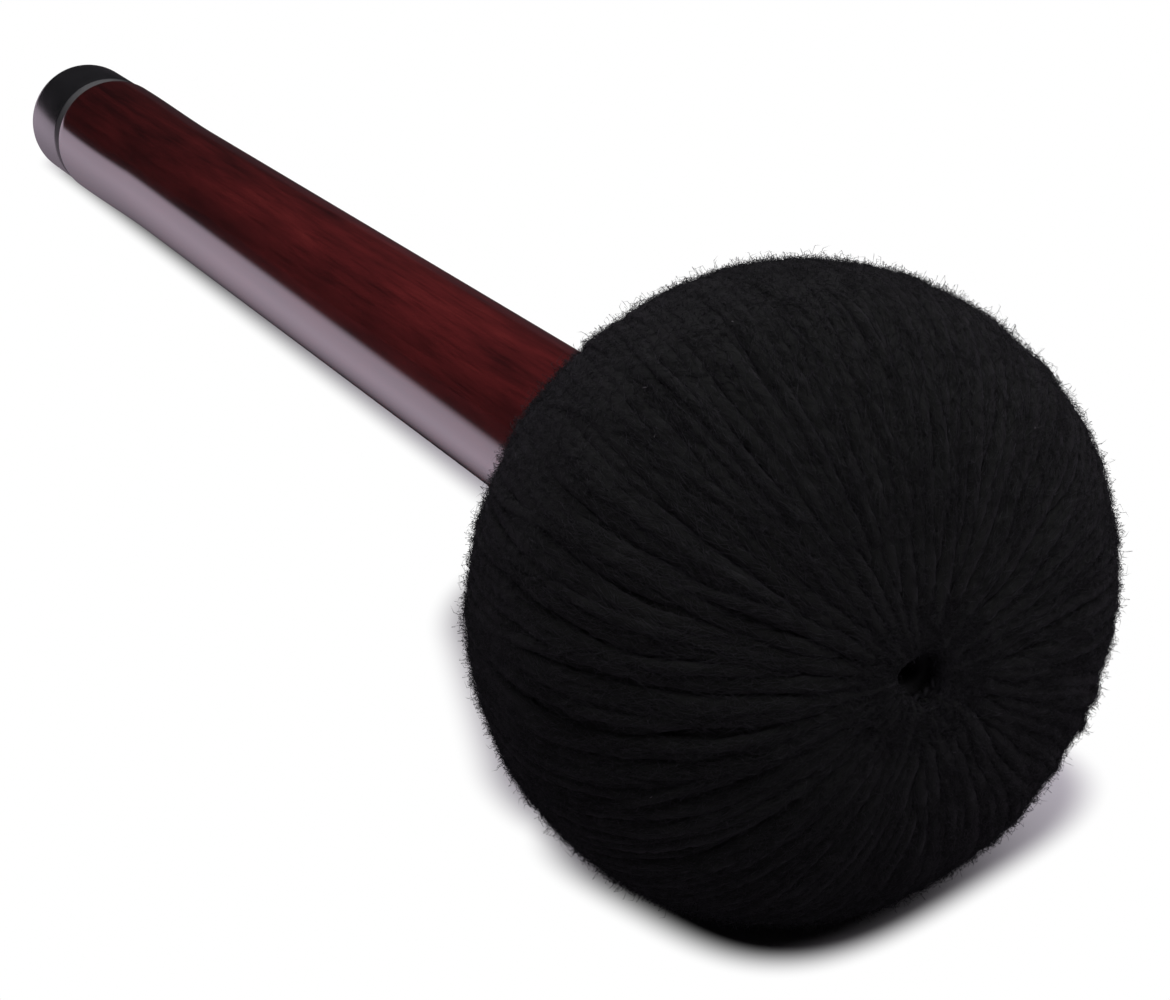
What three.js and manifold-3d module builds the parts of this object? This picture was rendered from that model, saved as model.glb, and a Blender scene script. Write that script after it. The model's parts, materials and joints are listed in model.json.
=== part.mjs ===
// Gong mallet: a lacquered hardwood handle under a big head of wound yarn, lying on head and cap
import * as THREE from 'three';
import { mergeVertices } from 'three/addons/utils/BufferGeometryUtils.js';
import Module from 'manifold-3d';

const wasm = await Module();
wasm.setup();

// Driving dimensions in millimetres. The mallet is drawn along Y: the head's middle is at zero,
// the crown points to +Y and the handle runs to -Y.
const overallLength = 378;
const headRadius = 50;
const headHalfLength = 36.2;
const headFullness = 2.3;
const fitClearance = 0.3;
const overrun = 1;

const neckRadius = 14.4;
const waistRadius = 12.8;
const buttRadius = 13.3;
const flareLength = 45;
const shoulderChamfer = 0.7;
const tenonRadius = 9;
const tenonChamfer = 1;

const wedgeLength = 20;
const wedgeHeadThickness = 3.6;
const wedgeTipThickness = 1.2;

const capRadius = 13;
const capLength = 24;
const capWall = 1.8;
const capEndThickness = 4;
const capCornerRadius = 5;
const capLipChamfer = 1.3;

const coreRadius = 22;
const coreHalfLength = 16;
const coreRounding = 2;
const feltThickness = 8;
const feltDiscThickness = 4;

const yarnDepth = 2.6;
const yarnGap = 0.5;
const yarnSeatGap = 0.8;
const turnStagger = 4;
const fanReach = 3;
const twistAngle = 0.1;
const restFlatDepth = 0.5;
const crownHoleRadius = 3.1;
const stitchThickness = 1;
const bindingThickness = 1.8;

// Counts
const roundFacets = 48;
const innerFacets = 36;
const arcSteps = 5;
const outlineSteps = 16;
const windingLoops = 24;
const windingSteps = 24;
const staggeredRows = 3;
const turnSteps = 3;
const strandSides = 6;
const bindingTurns = 3;
const bindingSteps = 24;
const stitchSides = 8;
const stitchSteps = 28;

const quarter = Math.PI / 2;
const passes = 2 * windingLoops;
const buttY = headHalfLength - overallLength;
const capFrontY = buttY + capLength;

// The head's outline, a rounded oval: t runs from the crown, 0, to the neck, PI
function headOutline(radius, halfLength, t) {
  const across = Math.abs(Math.sin(t)) ** (2 / headFullness);
  const along = Math.sign(Math.cos(t)) * Math.abs(Math.cos(t)) ** (2 / headFullness);
  return new THREE.Vector2(radius * across, halfLength * along);
}

// Where that outline has the radius r, measured from its nearer end
function outlineAngle(radius, r) {
  return Math.asin((r / radius) ** (headFullness / 2));
}

// The outline's height over the head's middle at the radius r
function outlineHeight(radius, halfLength, r) {
  return halfLength * (1 - (r / radius) ** headFullness) ** (1 / headFullness);
}

// Its outward direction there, as radius and height
function outlineNormal(radius, halfLength, point) {
  const across = (point.x / radius) ** (headFullness - 1) / radius;
  const along = Math.sign(point.y) * Math.abs(point.y / halfLength) ** (headFullness - 1) / halfLength;
  return new THREE.Vector2(across, along).normalize();
}

// Quarter of a circle between two angles, as points of an outline
function arc(centreRadius, centreY, radius, from, to) {
  const points = [];
  for (let i = 0; i <= arcSteps; i++) {
    const angle = from + (to - from) * i / arcSteps;
    points.push([centreRadius + radius * Math.cos(angle), centreY + radius * Math.sin(angle)]);
  }
  return points;
}

// Solid of revolution about Y from [radius, y] points that run up the outside
function turned(outline, facets) {
  return new THREE.LatheGeometry(outline.map(([r, y]) => new THREE.Vector2(r, y)), facets);
}

// Hollow solid of revolution: the outline runs up the outside, down the bore and closes
function turnedRing(outline, facets) {
  return turned([...outline, outline[0]], facets);
}

function toSolid(geometry) {
  const bare = geometry.clone();
  bare.deleteAttribute('normal');
  bare.deleteAttribute('uv');
  const merged = mergeVertices(bare);
  const corners = merged.index.array;
  const triangles = [];
  for (let i = 0; i < corners.length; i += 3) {
    const [a, b, c] = [corners[i], corners[i + 1], corners[i + 2]];
    if (a !== b && b !== c && c !== a) triangles.push(a, b, c);
  }
  return new wasm.Manifold(new wasm.Mesh({
    numProp: 3,
    vertProperties: new Float32Array(merged.attributes.position.array),
    triVerts: new Uint32Array(triangles),
  }));
}

function toGeometry(solid) {
  const mesh = solid.getMesh();
  const geometry = new THREE.BufferGeometry();
  geometry.setAttribute('position', new THREE.BufferAttribute(new Float32Array(mesh.vertProperties), 3));
  geometry.setIndex(new THREE.BufferAttribute(new Uint32Array(mesh.triVerts), 1));
  geometry.computeVertexNormals();
  return geometry;
}

function piece(name, geometry, color, roughness, metalness = 0) {
  const mesh = new THREE.Mesh(geometry, new THREE.MeshStandardMaterial({ color, roughness, metalness }));
  mesh.name = name;
  return mesh;
}

// Layers inside the head, from the yarn's underside in to the core
const yarnSeatRadius = headRadius - yarnDepth;
const yarnSeatHalfLength = headHalfLength - yarnDepth;
const underlayRadius = yarnSeatRadius - yarnSeatGap;
const underlayHalfLength = yarnSeatHalfLength - yarnSeatGap;
const feltInnerRadius = coreRadius + fitClearance;
const feltOuterRadius = feltInnerRadius + feltThickness;
const discInnerY = coreHalfLength + fitClearance;
const discOuterY = discInnerY + feltDiscThickness;
const neckBore = neckRadius + fitClearance;

// Places along the handle
const tenonFrontY = coreHalfLength - fitClearance;
const wedgeHeadY = tenonFrontY - fitClearance;
const shoulderY = -coreHalfLength - fitClearance;
const neckY = -outlineHeight(underlayRadius, underlayHalfLength, neckBore);
const spigotRadius = capRadius - capWall - fitClearance;
const spigotEndY = buttY + capEndThickness + fitClearance;
const handleEndY = capFrontY + fitClearance;

// The wedge seen along its edge: with clearance added, the kerf that it opens in the tenon
function wedgeBlock(clearance, beyond, halfWidth) {
  const tipY = wedgeHeadY - wedgeLength - clearance;
  const tipHalf = wedgeTipThickness / 2 + clearance;
  const slope = (wedgeHeadThickness - wedgeTipThickness) / (2 * wedgeLength);
  const headY = wedgeHeadY + beyond;
  const headHalf = tipHalf + slope * (headY - tipY);
  const shape = new THREE.Shape([
    new THREE.Vector2(-tipHalf, tipY),
    new THREE.Vector2(tipHalf, tipY),
    new THREE.Vector2(headHalf, headY),
    new THREE.Vector2(-headHalf, headY),
  ]);
  const block = new THREE.ExtrudeGeometry(shape, { depth: 2 * halfWidth, bevelEnabled: false });
  return block.translate(0, 0, -halfWidth);
}

function handle() {
  const outline = [
    [0, spigotEndY],
    [spigotRadius, spigotEndY],
    [spigotRadius, handleEndY],
    [buttRadius - shoulderChamfer, handleEndY],
    [buttRadius, handleEndY + shoulderChamfer],
  ];
  // The flare before the cap eases into the long taper up to the neck
  for (let i = 1; i <= arcSteps; i++) {
    const share = i / arcSteps;
    const ease = (1 + Math.cos(Math.PI * share)) / 2;
    outline.push([
      waistRadius + (buttRadius - waistRadius) * ease,
      handleEndY + shoulderChamfer + (flareLength - shoulderChamfer) * share,
    ]);
  }
  outline.push(
    [neckRadius, neckY],
    [neckRadius, shoulderY],
    [tenonRadius, shoulderY],
    [tenonRadius, tenonFrontY - tenonChamfer],
    [tenonRadius - tenonChamfer, tenonFrontY],
    [0, tenonFrontY],
  );
  const kerf = wedgeBlock(fitClearance, fitClearance + overrun, tenonRadius + overrun);
  return toGeometry(toSolid(turned(outline, roundFacets)).subtract(toSolid(kerf)));
}

function tenonWedge() {
  const reachAcross = Math.sqrt(tenonRadius ** 2 - (wedgeHeadThickness / 2) ** 2);
  return wedgeBlock(0, 0, reachAcross - fitClearance);
}

// Rubber cup over the end of the handle, with a rounded end and a chamfered lip
function endCap() {
  const cornerRadius = capRadius - capCornerRadius;
  const boreRadius = spigotRadius + fitClearance;
  return turned([
    [0, buttY],
    ...arc(cornerRadius, buttY + capCornerRadius, capCornerRadius, -quarter, 0),
    [capRadius, capFrontY - capLipChamfer],
    [capRadius - capLipChamfer, capFrontY],
    [boreRadius, capFrontY],
    [boreRadius, buttY + capEndThickness],
    [0, buttY + capEndThickness],
  ], roundFacets);
}

function headCore() {
  const bore = tenonRadius + fitClearance;
  const rim = coreRadius - coreRounding;
  const end = coreHalfLength - coreRounding;
  return turnedRing([
    [bore, -coreHalfLength],
    ...arc(rim, -end, coreRounding, -quarter, 0),
    ...arc(rim, end, coreRounding, 0, quarter),
    [bore, coreHalfLength],
  ], innerFacets);
}

function coreFelt() {
  return turnedRing([
    [feltInnerRadius, -coreHalfLength],
    [feltOuterRadius, -coreHalfLength],
    [feltOuterRadius, coreHalfLength],
    [feltInnerRadius, coreHalfLength],
  ], innerFacets);
}

// Felt discs over the core's faces, with their outer edges pressed round
function frontFeltDisc() {
  const rim = feltOuterRadius - feltDiscThickness;
  return turned([
    [0, discInnerY],
    ...arc(rim, discInnerY, feltDiscThickness, 0, quarter),
    [0, discOuterY],
  ], innerFacets);
}

function rearFeltDisc() {
  const rim = feltOuterRadius - feltDiscThickness;
  return turnedRing([
    [neckBore, -discOuterY],
    ...arc(rim, -discInnerY, feltDiscThickness, -quarter, 0),
    [neckBore, -discInnerY],
  ], innerFacets);
}

// Ball of padding yarn under the outer turns, hollow for the felt-covered core
function underlayWinding() {
  const cavityRadius = feltOuterRadius + fitClearance;
  const cavityY = discOuterY + fitClearance;
  const round = feltDiscThickness + fitClearance;
  const rim = cavityRadius - round;
  const neckT = Math.PI - outlineAngle(underlayRadius, neckBore);
  const outline = [];
  for (let i = 0; i <= outlineSteps; i++) {
    const point = headOutline(underlayRadius, underlayHalfLength, neckT * (1 - i / outlineSteps));
    outline.push([point.x, point.y]);
  }
  outline.push(
    [0, cavityY],
    ...arc(rim, cavityY - round, round, quarter, 0),
    ...arc(rim, round - cavityY, round, 0, -quarter),
    [neckBore, -cavityY],
  );
  return turnedRing(outline, innerFacets);
}

// One step of a wound strand: where it is, which way is out, and half its width and depth there
function step(point, out, halfWidth, halfDepth) {
  return { point, out, halfWidth, halfDepth };
}

// Corners of the strand's section at each step, six-sided with upright sides
function strandRings(steps) {
  const sideShare = Math.cos(Math.PI / strandSides);
  return steps.map(({ point, out, halfWidth, halfDepth }, i) => {
    const before = steps[Math.max(i - 1, 0)].point;
    const after = steps[Math.min(i + 1, steps.length - 1)].point;
    const along = after.clone().sub(before).normalize();
    const side = new THREE.Vector3().crossVectors(along, out).normalize();
    const up = new THREE.Vector3().crossVectors(side, along);
    return Array.from({ length: strandSides }, (_, k) => {
      const angle = 2 * Math.PI * (k + 1 / 2) / strandSides;
      return point.clone()
        .addScaledVector(side, halfWidth * Math.cos(angle) / sideShare)
        .addScaledVector(up, halfDepth * Math.sin(angle));
    });
  });
}

// One unbroken tube through the rings, closed at both ends
function strand(rings) {
  const corners = rings.flat().flatMap((corner) => corner.toArray());
  const triangles = [];
  const last = (rings.length - 1) * strandSides;
  for (let i = 0; i + 1 < rings.length; i++) {
    for (let k = 0; k < strandSides; k++) {
      const a = i * strandSides + k;
      const b = i * strandSides + (k + 1) % strandSides;
      triangles.push(a, a + strandSides, b);
      triangles.push(b, a + strandSides, b + strandSides);
    }
  }
  for (let k = 1; k + 1 < strandSides; k++) {
    triangles.push(0, k, k + 1);
    triangles.push(last, last + k + 1, last + k);
  }
  const geometry = new THREE.BufferGeometry();
  geometry.setAttribute('position', new THREE.Float32BufferAttribute(corners, 3));
  geometry.setIndex(triangles);
  geometry.computeVertexNormals();
  return geometry;
}

// Least gap between stretches of a strand that lie further apart along it than its half turns are long
function leastGap(steps, rings) {
  const finer = 3;
  const samples = [];
  let travelled = 0;
  for (let i = 0; i + 1 < rings.length; i++) {
    const length = steps[i].point.distanceTo(steps[i + 1].point);
    for (let j = 0; j < finer; j++) {
      const share = j / finer;
      const corners = rings[i].map((corner, k) => corner.clone().lerp(rings[i + 1][k], share));
      const turnLength = Math.PI * (steps[i].halfWidth + yarnGap / 2);
      samples.push({ at: travelled + length * share, turnLength, corners });
    }
    travelled += length;
  }
  let least = Infinity;
  for (let i = 0; i < samples.length; i++) {
    for (let j = i + 1; j < samples.length; j++) {
      if (samples[j].at - samples[i].at < Math.max(samples[i].turnLength, samples[j].turnLength)) continue;
      if (samples[i].corners[0].distanceTo(samples[j].corners[0]) > headRadius / 2) continue;
      for (const a of samples[i].corners) {
        for (const b of samples[j].corners) least = Math.min(least, a.distanceTo(b));
      }
    }
  }
  return least;
}

// Place on the head from an angle round the axis, zero at the bottom, a radius and a height
function around(angle, radius, y) {
  return new THREE.Vector3(radius * Math.sin(angle), y, -radius * Math.cos(angle));
}

// Radii at which the loops turn back: rows of loops end further and further from the crown
const stitchOuterRadius = crownHoleRadius + stitchThickness;
const crownPassSpan = 2 * Math.PI / (passes / staggeredRows);
const firstTurnRadius = (stitchOuterRadius + fitClearance - yarnGap / 2) / (1 - crownPassSpan);
const bindingOuterRadius = neckBore + bindingThickness;
const neckPassSpan = 2 * Math.PI / passes;
const neckHoleRadius = bindingOuterRadius + fitClearance;
const neckTurnRadius = (neckHoleRadius - yarnGap / 2) / (1 - neckPassSpan);

function turnRadius(loop) {
  return firstTurnRadius + turnStagger * ((2 * loop) % staggeredRows);
}

// How much of its full share of the ring a loop takes at a radius near the crown
function ringShare(loop, radius) {
  const end = turnRadius(loop);
  return THREE.MathUtils.smoothstep(radius, end - fanReach, end + fanReach);
}

// The middle of a loop and its span round the axis, at one radius: as loops of the outer rows end,
// the others fan out into their room
function loopPlace(loop, radius, front) {
  const full = 2 * Math.PI / windingLoops;
  if (!front) return { middle: full * loop, span: full };
  const first = loop - loop % staggeredRows;
  const shares = Array.from({ length: staggeredRows }, (_, i) => ringShare(i, radius));
  const unit = staggeredRows * full / shares.reduce((sum, share) => sum + share, 0);
  let middle = full * first;
  for (let i = first; i < loop; i++) middle += unit * (shares[i - first] + shares[i - first + 1]) / 2;
  return { middle, span: unit * shares[loop - first] };
}

// A step of the winding on the head at the outline angle t, offset sideways by a share of the loop's span
function windingStep(loop, t, sideShare) {
  const seat = headOutline(yarnSeatRadius, yarnSeatHalfLength, t);
  const normal = outlineNormal(yarnSeatRadius, yarnSeatHalfLength, seat);
  const { middle, span } = loopPlace(loop, seat.x, t < quarter);
  const width = span * seat.x / 2 - yarnGap;
  const depth = Math.min(yarnDepth, width + 2 * yarnGap);
  const centre = seat.clone().addScaledVector(normal, depth / 2);
  const angle = middle + sideShare * span + twistAngle * Math.cos(t);
  return step(around(angle, centre.x, centre.y), around(angle, normal.x, normal.y), width / 2, depth / 2);
}

// The steps inside a half turn from one step to another, bulging towards the axis
function halfTurn(from, to) {
  const middle = from.point.clone().add(to.point).multiplyScalar(1 / 2);
  const across = to.point.clone().sub(from.point).multiplyScalar(1 / 2);
  const out = from.out.clone().add(to.out).normalize();
  const inward = new THREE.Vector3().crossVectors(across, out);
  if (inward.x * middle.x + inward.z * middle.z > 0) inward.negate();
  return Array.from({ length: turnSteps - 1 }, (_, i) => {
    const angle = Math.PI * (i + 1) / turnSteps;
    const point = middle.clone()
      .addScaledVector(across, -Math.cos(angle))
      .addScaledVector(inward, Math.sin(angle));
    return step(point, out, from.halfWidth, from.halfDepth);
  });
}

// The straight end of a strand: one more step, on from the last by its own width and towards the
// axis, so it narrows to keep its gap
function straightEnd(last, beforeLast) {
  const along = last.point.clone().sub(beforeLast.point).normalize();
  const point = last.point.clone().addScaledVector(along, 2 * last.halfWidth);
  const nearer = Math.hypot(point.x, point.z) / Math.hypot(last.point.x, last.point.z);
  const halfWidth = last.halfWidth * nearer - yarnGap * (1 - nearer) / 2;
  return step(point, last.out, halfWidth, last.halfDepth);
}

// The outer yarn: one strand that runs from the neck to the crown and back, loop after loop
function windingPath() {
  const legSteps = windingSteps / 2 - turnSteps;
  const neckT = Math.PI - outlineAngle(yarnSeatRadius, neckTurnRadius);
  const steps = [];
  for (let loop = 0; loop < windingLoops; loop++) {
    const crownT = outlineAngle(yarnSeatRadius, turnRadius(loop));
    const up = [];
    const down = [];
    for (let i = 0; i <= legSteps; i++) {
      const t = crownT + (neckT - crownT) * i / legSteps;
      up.unshift(windingStep(loop, t, -1 / 4));
      down.push(windingStep(loop, t, 1 / 4));
    }
    if (loop > 0) steps.push(...halfTurn(steps[steps.length - 1], up[0]));
    steps.push(...up, ...halfTurn(up[legSteps], down[0]), ...down);
  }
  steps.unshift(straightEnd(steps[0], steps[1]));
  steps.push(straightEnd(steps[steps.length - 1], steps[steps.length - 2]));
  return steps;
}

// Resting attitude: head and cap touch one floor, so the axis climbs towards the head
const restHeight = headRadius * Math.cos(Math.PI / passes) - restFlatDepth;
const capHeelY = buttY + capCornerRadius;
const reach = Math.hypot(capHeelY, capRadius - capCornerRadius);
const restTilt = Math.asin((restHeight - capCornerRadius) / reach)
  - Math.atan((capRadius - capCornerRadius) / -capHeelY);

function yarnWinding() {
  const steps = windingPath();
  const rings = strandRings(steps);
  console.log(`yarn_winding: least gap to itself ${leastGap(steps, rings).toFixed(2)} mm`);
  // The floor presses a small flat on the head
  const size = 2 * headRadius;
  const floor = new THREE.BoxGeometry(size, size, size);
  floor.translate(0, 0, -restHeight - size / 2);
  floor.rotateX(-restTilt);
  return toGeometry(toSolid(strand(rings)).subtract(toSolid(floor)));
}

// Thread that gathers the inner turns round the crown hole
function crownStitching() {
  const ringRadius = crownHoleRadius + stitchThickness / 2;
  const y = outlineHeight(underlayRadius, underlayHalfLength, 0) + fitClearance + stitchThickness / 2;
  const ring = new THREE.TorusGeometry(ringRadius, stitchThickness / 2, stitchSides, stitchSteps);
  ring.rotateX(quarter);
  ring.translate(0, y, 0);
  return ring;
}

// Yarn bound round the handle at the neck: it leaves the head along the handle, bends into its
// turns and bends back out along the handle in a short tail
function neckBinding() {
  const radius = neckBore + bindingThickness / 2;
  const pitch = bindingThickness + yarnGap;
  const startY = -outlineHeight(underlayRadius, underlayHalfLength, radius) - fitClearance;
  const bend = bindingThickness;
  const climb = pitch / (2 * Math.PI * radius);
  const points = [[0, startY], [0, startY - bindingThickness]];
  for (let i = 1; i <= turnSteps; i++) {
    const angle = quarter * i / turnSteps;
    points.push([
      bend * (1 - Math.cos(angle)) / radius,
      startY - bindingThickness - bend * Math.sin(angle),
    ]);
  }
  const [coilAngle, coilY] = points[points.length - 1];
  const coilSteps = bindingTurns * bindingSteps;
  for (let i = 1; i <= coilSteps; i++) {
    const angle = 2 * Math.PI * i / bindingSteps;
    points.push([coilAngle + angle, coilY - climb * radius * angle]);
  }
  const [tailAngle, tailY] = points[points.length - 1];
  for (let i = 1; i <= turnSteps; i++) {
    const angle = quarter * i / turnSteps;
    points.push([tailAngle + bend * Math.sin(angle) / radius, tailY - bend * (1 - Math.cos(angle))]);
  }
  const [endAngle, endY] = points[points.length - 1];
  points.push([endAngle, endY - bindingThickness]);
  const half = bindingThickness / 2;
  const steps = points.map(([angle, y]) => step(around(angle, radius, y), around(angle, 1, 0), half, half));
  const rings = strandRings(steps);
  console.log(`neck_binding: least gap to itself ${leastGap(steps, rings).toFixed(2)} mm`);
  return strand(rings);
}

const parts = new THREE.Group();
parts.add(
  piece('handle', handle(), 0x4a1214, 0.2),
  piece('tenon_wedge', tenonWedge(), 0x8a6a42, 0.7),
  piece('end_cap', endCap(), 0x1a1a1c, 0.35),
  piece('head_core', headCore(), 0x9a7a50, 0.7),
  piece('core_felt', coreFelt(), 0x6b6a66, 0.95),
  piece('front_felt_disc', frontFeltDisc(), 0x6b6a66, 0.95),
  piece('rear_felt_disc', rearFeltDisc(), 0x6b6a66, 0.95),
  piece('underlay_winding', underlayWinding(), 0x1d1c20, 0.95),
  piece('yarn_winding', yarnWinding(), 0x17161a, 0.95),
  piece('crown_stitching', crownStitching(), 0x121114, 0.9),
  piece('neck_binding', neckBinding(), 0x17161a, 0.95),
);
parts.rotation.z = -quarter;

const resting = new THREE.Group();
resting.add(parts);
resting.rotation.y = -restTilt;

// The origin is on the floor, under the middle of the mallet
const mallet = new THREE.Group();
mallet.add(resting);
mallet.updateMatrixWorld(true);
const extent = new THREE.Box3().setFromObject(mallet, true);
const middle = extent.getCenter(new THREE.Vector3());
resting.position.set(-middle.x, -middle.y, -extent.min.z);

export default mallet;
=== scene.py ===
"""Looks of the gong mallet: its finishes and its wound yarn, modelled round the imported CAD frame.

Shapes are drawn in the mallet's own axes: x to the side, y up, z along the mallet towards the crown of
the head, with zero at the head's middle. Lengths are in metres.
"""
import json
import math

import bpy
import numpy as np
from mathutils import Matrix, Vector


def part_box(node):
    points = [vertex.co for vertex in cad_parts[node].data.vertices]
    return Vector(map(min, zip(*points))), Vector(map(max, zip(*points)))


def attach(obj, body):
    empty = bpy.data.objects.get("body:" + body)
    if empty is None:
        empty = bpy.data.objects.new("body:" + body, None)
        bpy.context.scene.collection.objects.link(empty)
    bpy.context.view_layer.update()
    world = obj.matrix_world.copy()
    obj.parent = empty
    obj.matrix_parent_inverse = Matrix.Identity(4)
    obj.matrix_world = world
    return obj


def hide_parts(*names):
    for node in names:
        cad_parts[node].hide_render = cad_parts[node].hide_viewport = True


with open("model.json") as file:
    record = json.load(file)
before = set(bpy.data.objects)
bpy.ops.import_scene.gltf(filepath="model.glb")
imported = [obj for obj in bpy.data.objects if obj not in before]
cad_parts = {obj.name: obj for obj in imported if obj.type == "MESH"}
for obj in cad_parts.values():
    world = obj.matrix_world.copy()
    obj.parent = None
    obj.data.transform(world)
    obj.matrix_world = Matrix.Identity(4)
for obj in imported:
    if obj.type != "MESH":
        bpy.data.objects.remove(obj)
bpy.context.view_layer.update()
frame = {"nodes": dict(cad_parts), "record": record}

MM = 0.001
TURN = 2 * math.pi
QUARTER = math.pi / 2
SHARP_ANGLE = math.radians(40)
SEED = 7

# The head's outline is a rounded oval turned about the mallet's axis
HEAD_RADIUS = 50 * MM
HEAD_HALF_LENGTH = 36.2 * MM
HEAD_FULLNESS = 2.3
YARN_DEPTH = 2.6 * MM
YARN_SEAT_GAP = 0.8 * MM
CLEARANCE = 0.3 * MM

# Handle
OVERALL_LENGTH = 378 * MM
NECK_RADIUS = 14.4 * MM
WAIST_RADIUS = 12.8 * MM
BUTT_RADIUS = 13.3 * MM
FLARE_LENGTH = 45 * MM
SHOULDER_CHAMFER = 0.7 * MM
TENON_RADIUS = 9 * MM
TENON_CHAMFER = 1 * MM
WEDGE_LENGTH = 20 * MM
WEDGE_HEAD_THICKNESS = 3.6 * MM
WEDGE_TIP_THICKNESS = 1.2 * MM

# End cap
CAP_RADIUS = 13 * MM
CAP_LENGTH = 24 * MM
CAP_WALL = 1.8 * MM
CAP_END_THICKNESS = 4 * MM
CAP_CORNER_RADIUS = 5 * MM
CAP_LIP_CHAMFER = 1.3 * MM
CAP_LIP_LENGTH = 3.2 * MM
CAP_LIP_EASE = 0.3 * MM

# Core and felt
CORE_RADIUS = 22 * MM
CORE_HALF_LENGTH = 16 * MM
FELT_THICKNESS = 8 * MM
FELT_DISC_THICKNESS = 4 * MM
FELT_ROUNDING = 0.8 * MM
FELT_UNEVENNESS = 0.25 * MM

# The crown's hole is a little low and to the side, and pointed at its upper right
CROWN_HOLE_RADIUS = 2.9 * MM
CROWN_HOLE_DEPTH = 7 * MM
CROWN_RIM_RADIUS = 1.8 * MM
HOLE_SHIFT = (0.45 * MM, -0.60 * MM)
HOLE_POINT = 0.30 * MM
HOLE_POINT_ANGLE = math.radians(50)
HOLE_UNEVEN_REACH = 6 * MM
DIMPLE_REACH = 9 * MM
STITCHES = 15
STITCH_RING_RADIUS = 4.1 * MM
STITCH_SWING = 0.2 * MM
STITCH_LIFT = 0.3 * MM
STITCH_THREAD_RADIUS = 0.35 * MM

# Yarn bound round the neck
BINDING_THICKNESS = 1.8 * MM
BINDING_TURNS = 4
BINDING_PITCH = 2.3 * MM
BINDING_SPREAD = 1.15
BINDING_TUCK = 0.7 * BINDING_THICKNESS

# Places along the mallet
BUTT_Z = HEAD_HALF_LENGTH - OVERALL_LENGTH
CAP_FRONT_Z = BUTT_Z + CAP_LENGTH
NECK_BORE = NECK_RADIUS + CLEARANCE
NECK_HOLE = NECK_BORE + 1.2 * MM
NECK_TUCK = 2.2 * CROWN_RIM_RADIUS
UNDERLAY_RADIUS = HEAD_RADIUS - YARN_DEPTH - YARN_SEAT_GAP
UNDERLAY_HALF_LENGTH = HEAD_HALF_LENGTH - YARN_DEPTH - YARN_SEAT_GAP

# The mallet's axes in the frame, from the CAD model's own core and butt
core_low, core_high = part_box("head_core")
HEAD_CENTRE = np.array((core_low + core_high) / 2)
BUTT_CENTRE = np.array(next(m["pos_m"] for m in frame["record"]["mounts"] if m["name"] == "butt_face"))
CROWNWARD = (HEAD_CENTRE - BUTT_CENTRE) / np.linalg.norm(HEAD_CENTRE - BUTT_CENTRE)
SIDEWARD = np.array([0.0, 1.0, 0.0])
UPWARD = np.cross(CROWNWARD, SIDEWARD)
AXES = np.array([SIDEWARD, UPWARD, CROWNWARD])
TILT = math.asin(CROWNWARD[2])


def in_frame(points):
    """Points from the mallet's own axes, in the frame."""
    return HEAD_CENTRE + np.asarray(points) @ AXES


def smoothstep(x, low, high):
    share = np.clip((x - low) / (high - low), 0, 1)
    return share * share * (3 - 2 * share)


def unit(vectors):
    return vectors / np.maximum(np.linalg.norm(vectors, axis=-1, keepdims=True), 1e-12)


# Meshes

def add_piece(name, points, faces, material, uvs=None, sharp=SHARP_ANGLE):
    """A smooth mesh object from frame points and faces, given as arrays with one width each."""
    mesh = bpy.data.meshes.new(name)
    corners = np.concatenate([np.asarray(f).ravel() for f in faces])
    widths = np.concatenate([np.full(len(f), np.shape(f)[1]) for f in faces])
    mesh.vertices.add(len(points))
    mesh.vertices.foreach_set("co", np.asarray(points, np.float32).ravel())
    mesh.loops.add(len(corners))
    mesh.loops.foreach_set("vertex_index", corners.astype(np.int32))
    mesh.polygons.add(len(widths))
    mesh.polygons.foreach_set("loop_start", (np.cumsum(widths) - widths).astype(np.int32))
    if uvs is not None:
        layer = mesh.uv_layers.new(name="strand")
        filled = np.zeros((len(corners), 2), np.float32)
        filled[:len(uvs)] = uvs
        layer.data.foreach_set("uv", filled.ravel())
    mesh.update(calc_edges=True)
    mesh.validate()
    mesh.shade_smooth()
    if sharp:
        mesh.set_sharp_from_angle(angle=sharp)
    piece = bpy.data.objects.new(name, mesh)
    bpy.context.scene.collection.objects.link(piece)
    mesh.materials.append(material)
    return piece


def ring_faces(count, sides):
    """Quads between rings of points, and the two fans that close the ends on two further points."""
    here = np.arange(sides)
    beside = (here + 1) % sides
    ring = np.arange(count - 1)[:, None] * sides
    quads = np.stack([ring + here, ring + beside, ring + sides + beside, ring + sides + here], -1)
    foot, last = count * sides, (count - 1) * sides
    first = np.stack([np.full(sides, foot), beside, here], -1)
    final = np.stack([np.full(sides, foot + 1), last + here, last + beside], -1)
    return quads.reshape(-1, 4), first, final


def arc(centre_radius, centre_z, radius, start, end, steps=10):
    angles = np.linspace(start, end, steps + 1)
    return [(centre_radius + radius * math.cos(a), centre_z + radius * math.sin(a)) for a in angles]


def turned(outline, facets=144):
    """Points and faces of a solid turned about the mallet's axis. The outline runs up the outside, and
    starts and ends on the axis, or else closes on itself."""
    on_axis = outline[0][0] == 0
    rings = outline[1:-1] if on_axis else outline
    angles = np.arange(facets) * TURN / facets
    points = np.array([(r * math.cos(a), r * math.sin(a), z) for r, z in rings for a in angles])
    if not on_axis:
        return points, [ring_faces(len(rings) + 1, facets)[0] % len(points)]
    ends = [(0, 0, outline[0][1]), (0, 0, outline[-1][1])]
    return np.concatenate([points, ends]), list(ring_faces(len(rings), facets))


def turned_piece(name, outline, material, facets=144, roughen=None):
    points, faces = turned(outline, facets)
    if roughen:
        points = roughen(points)
    return add_piece(name, in_frame(points), faces, material)


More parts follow.
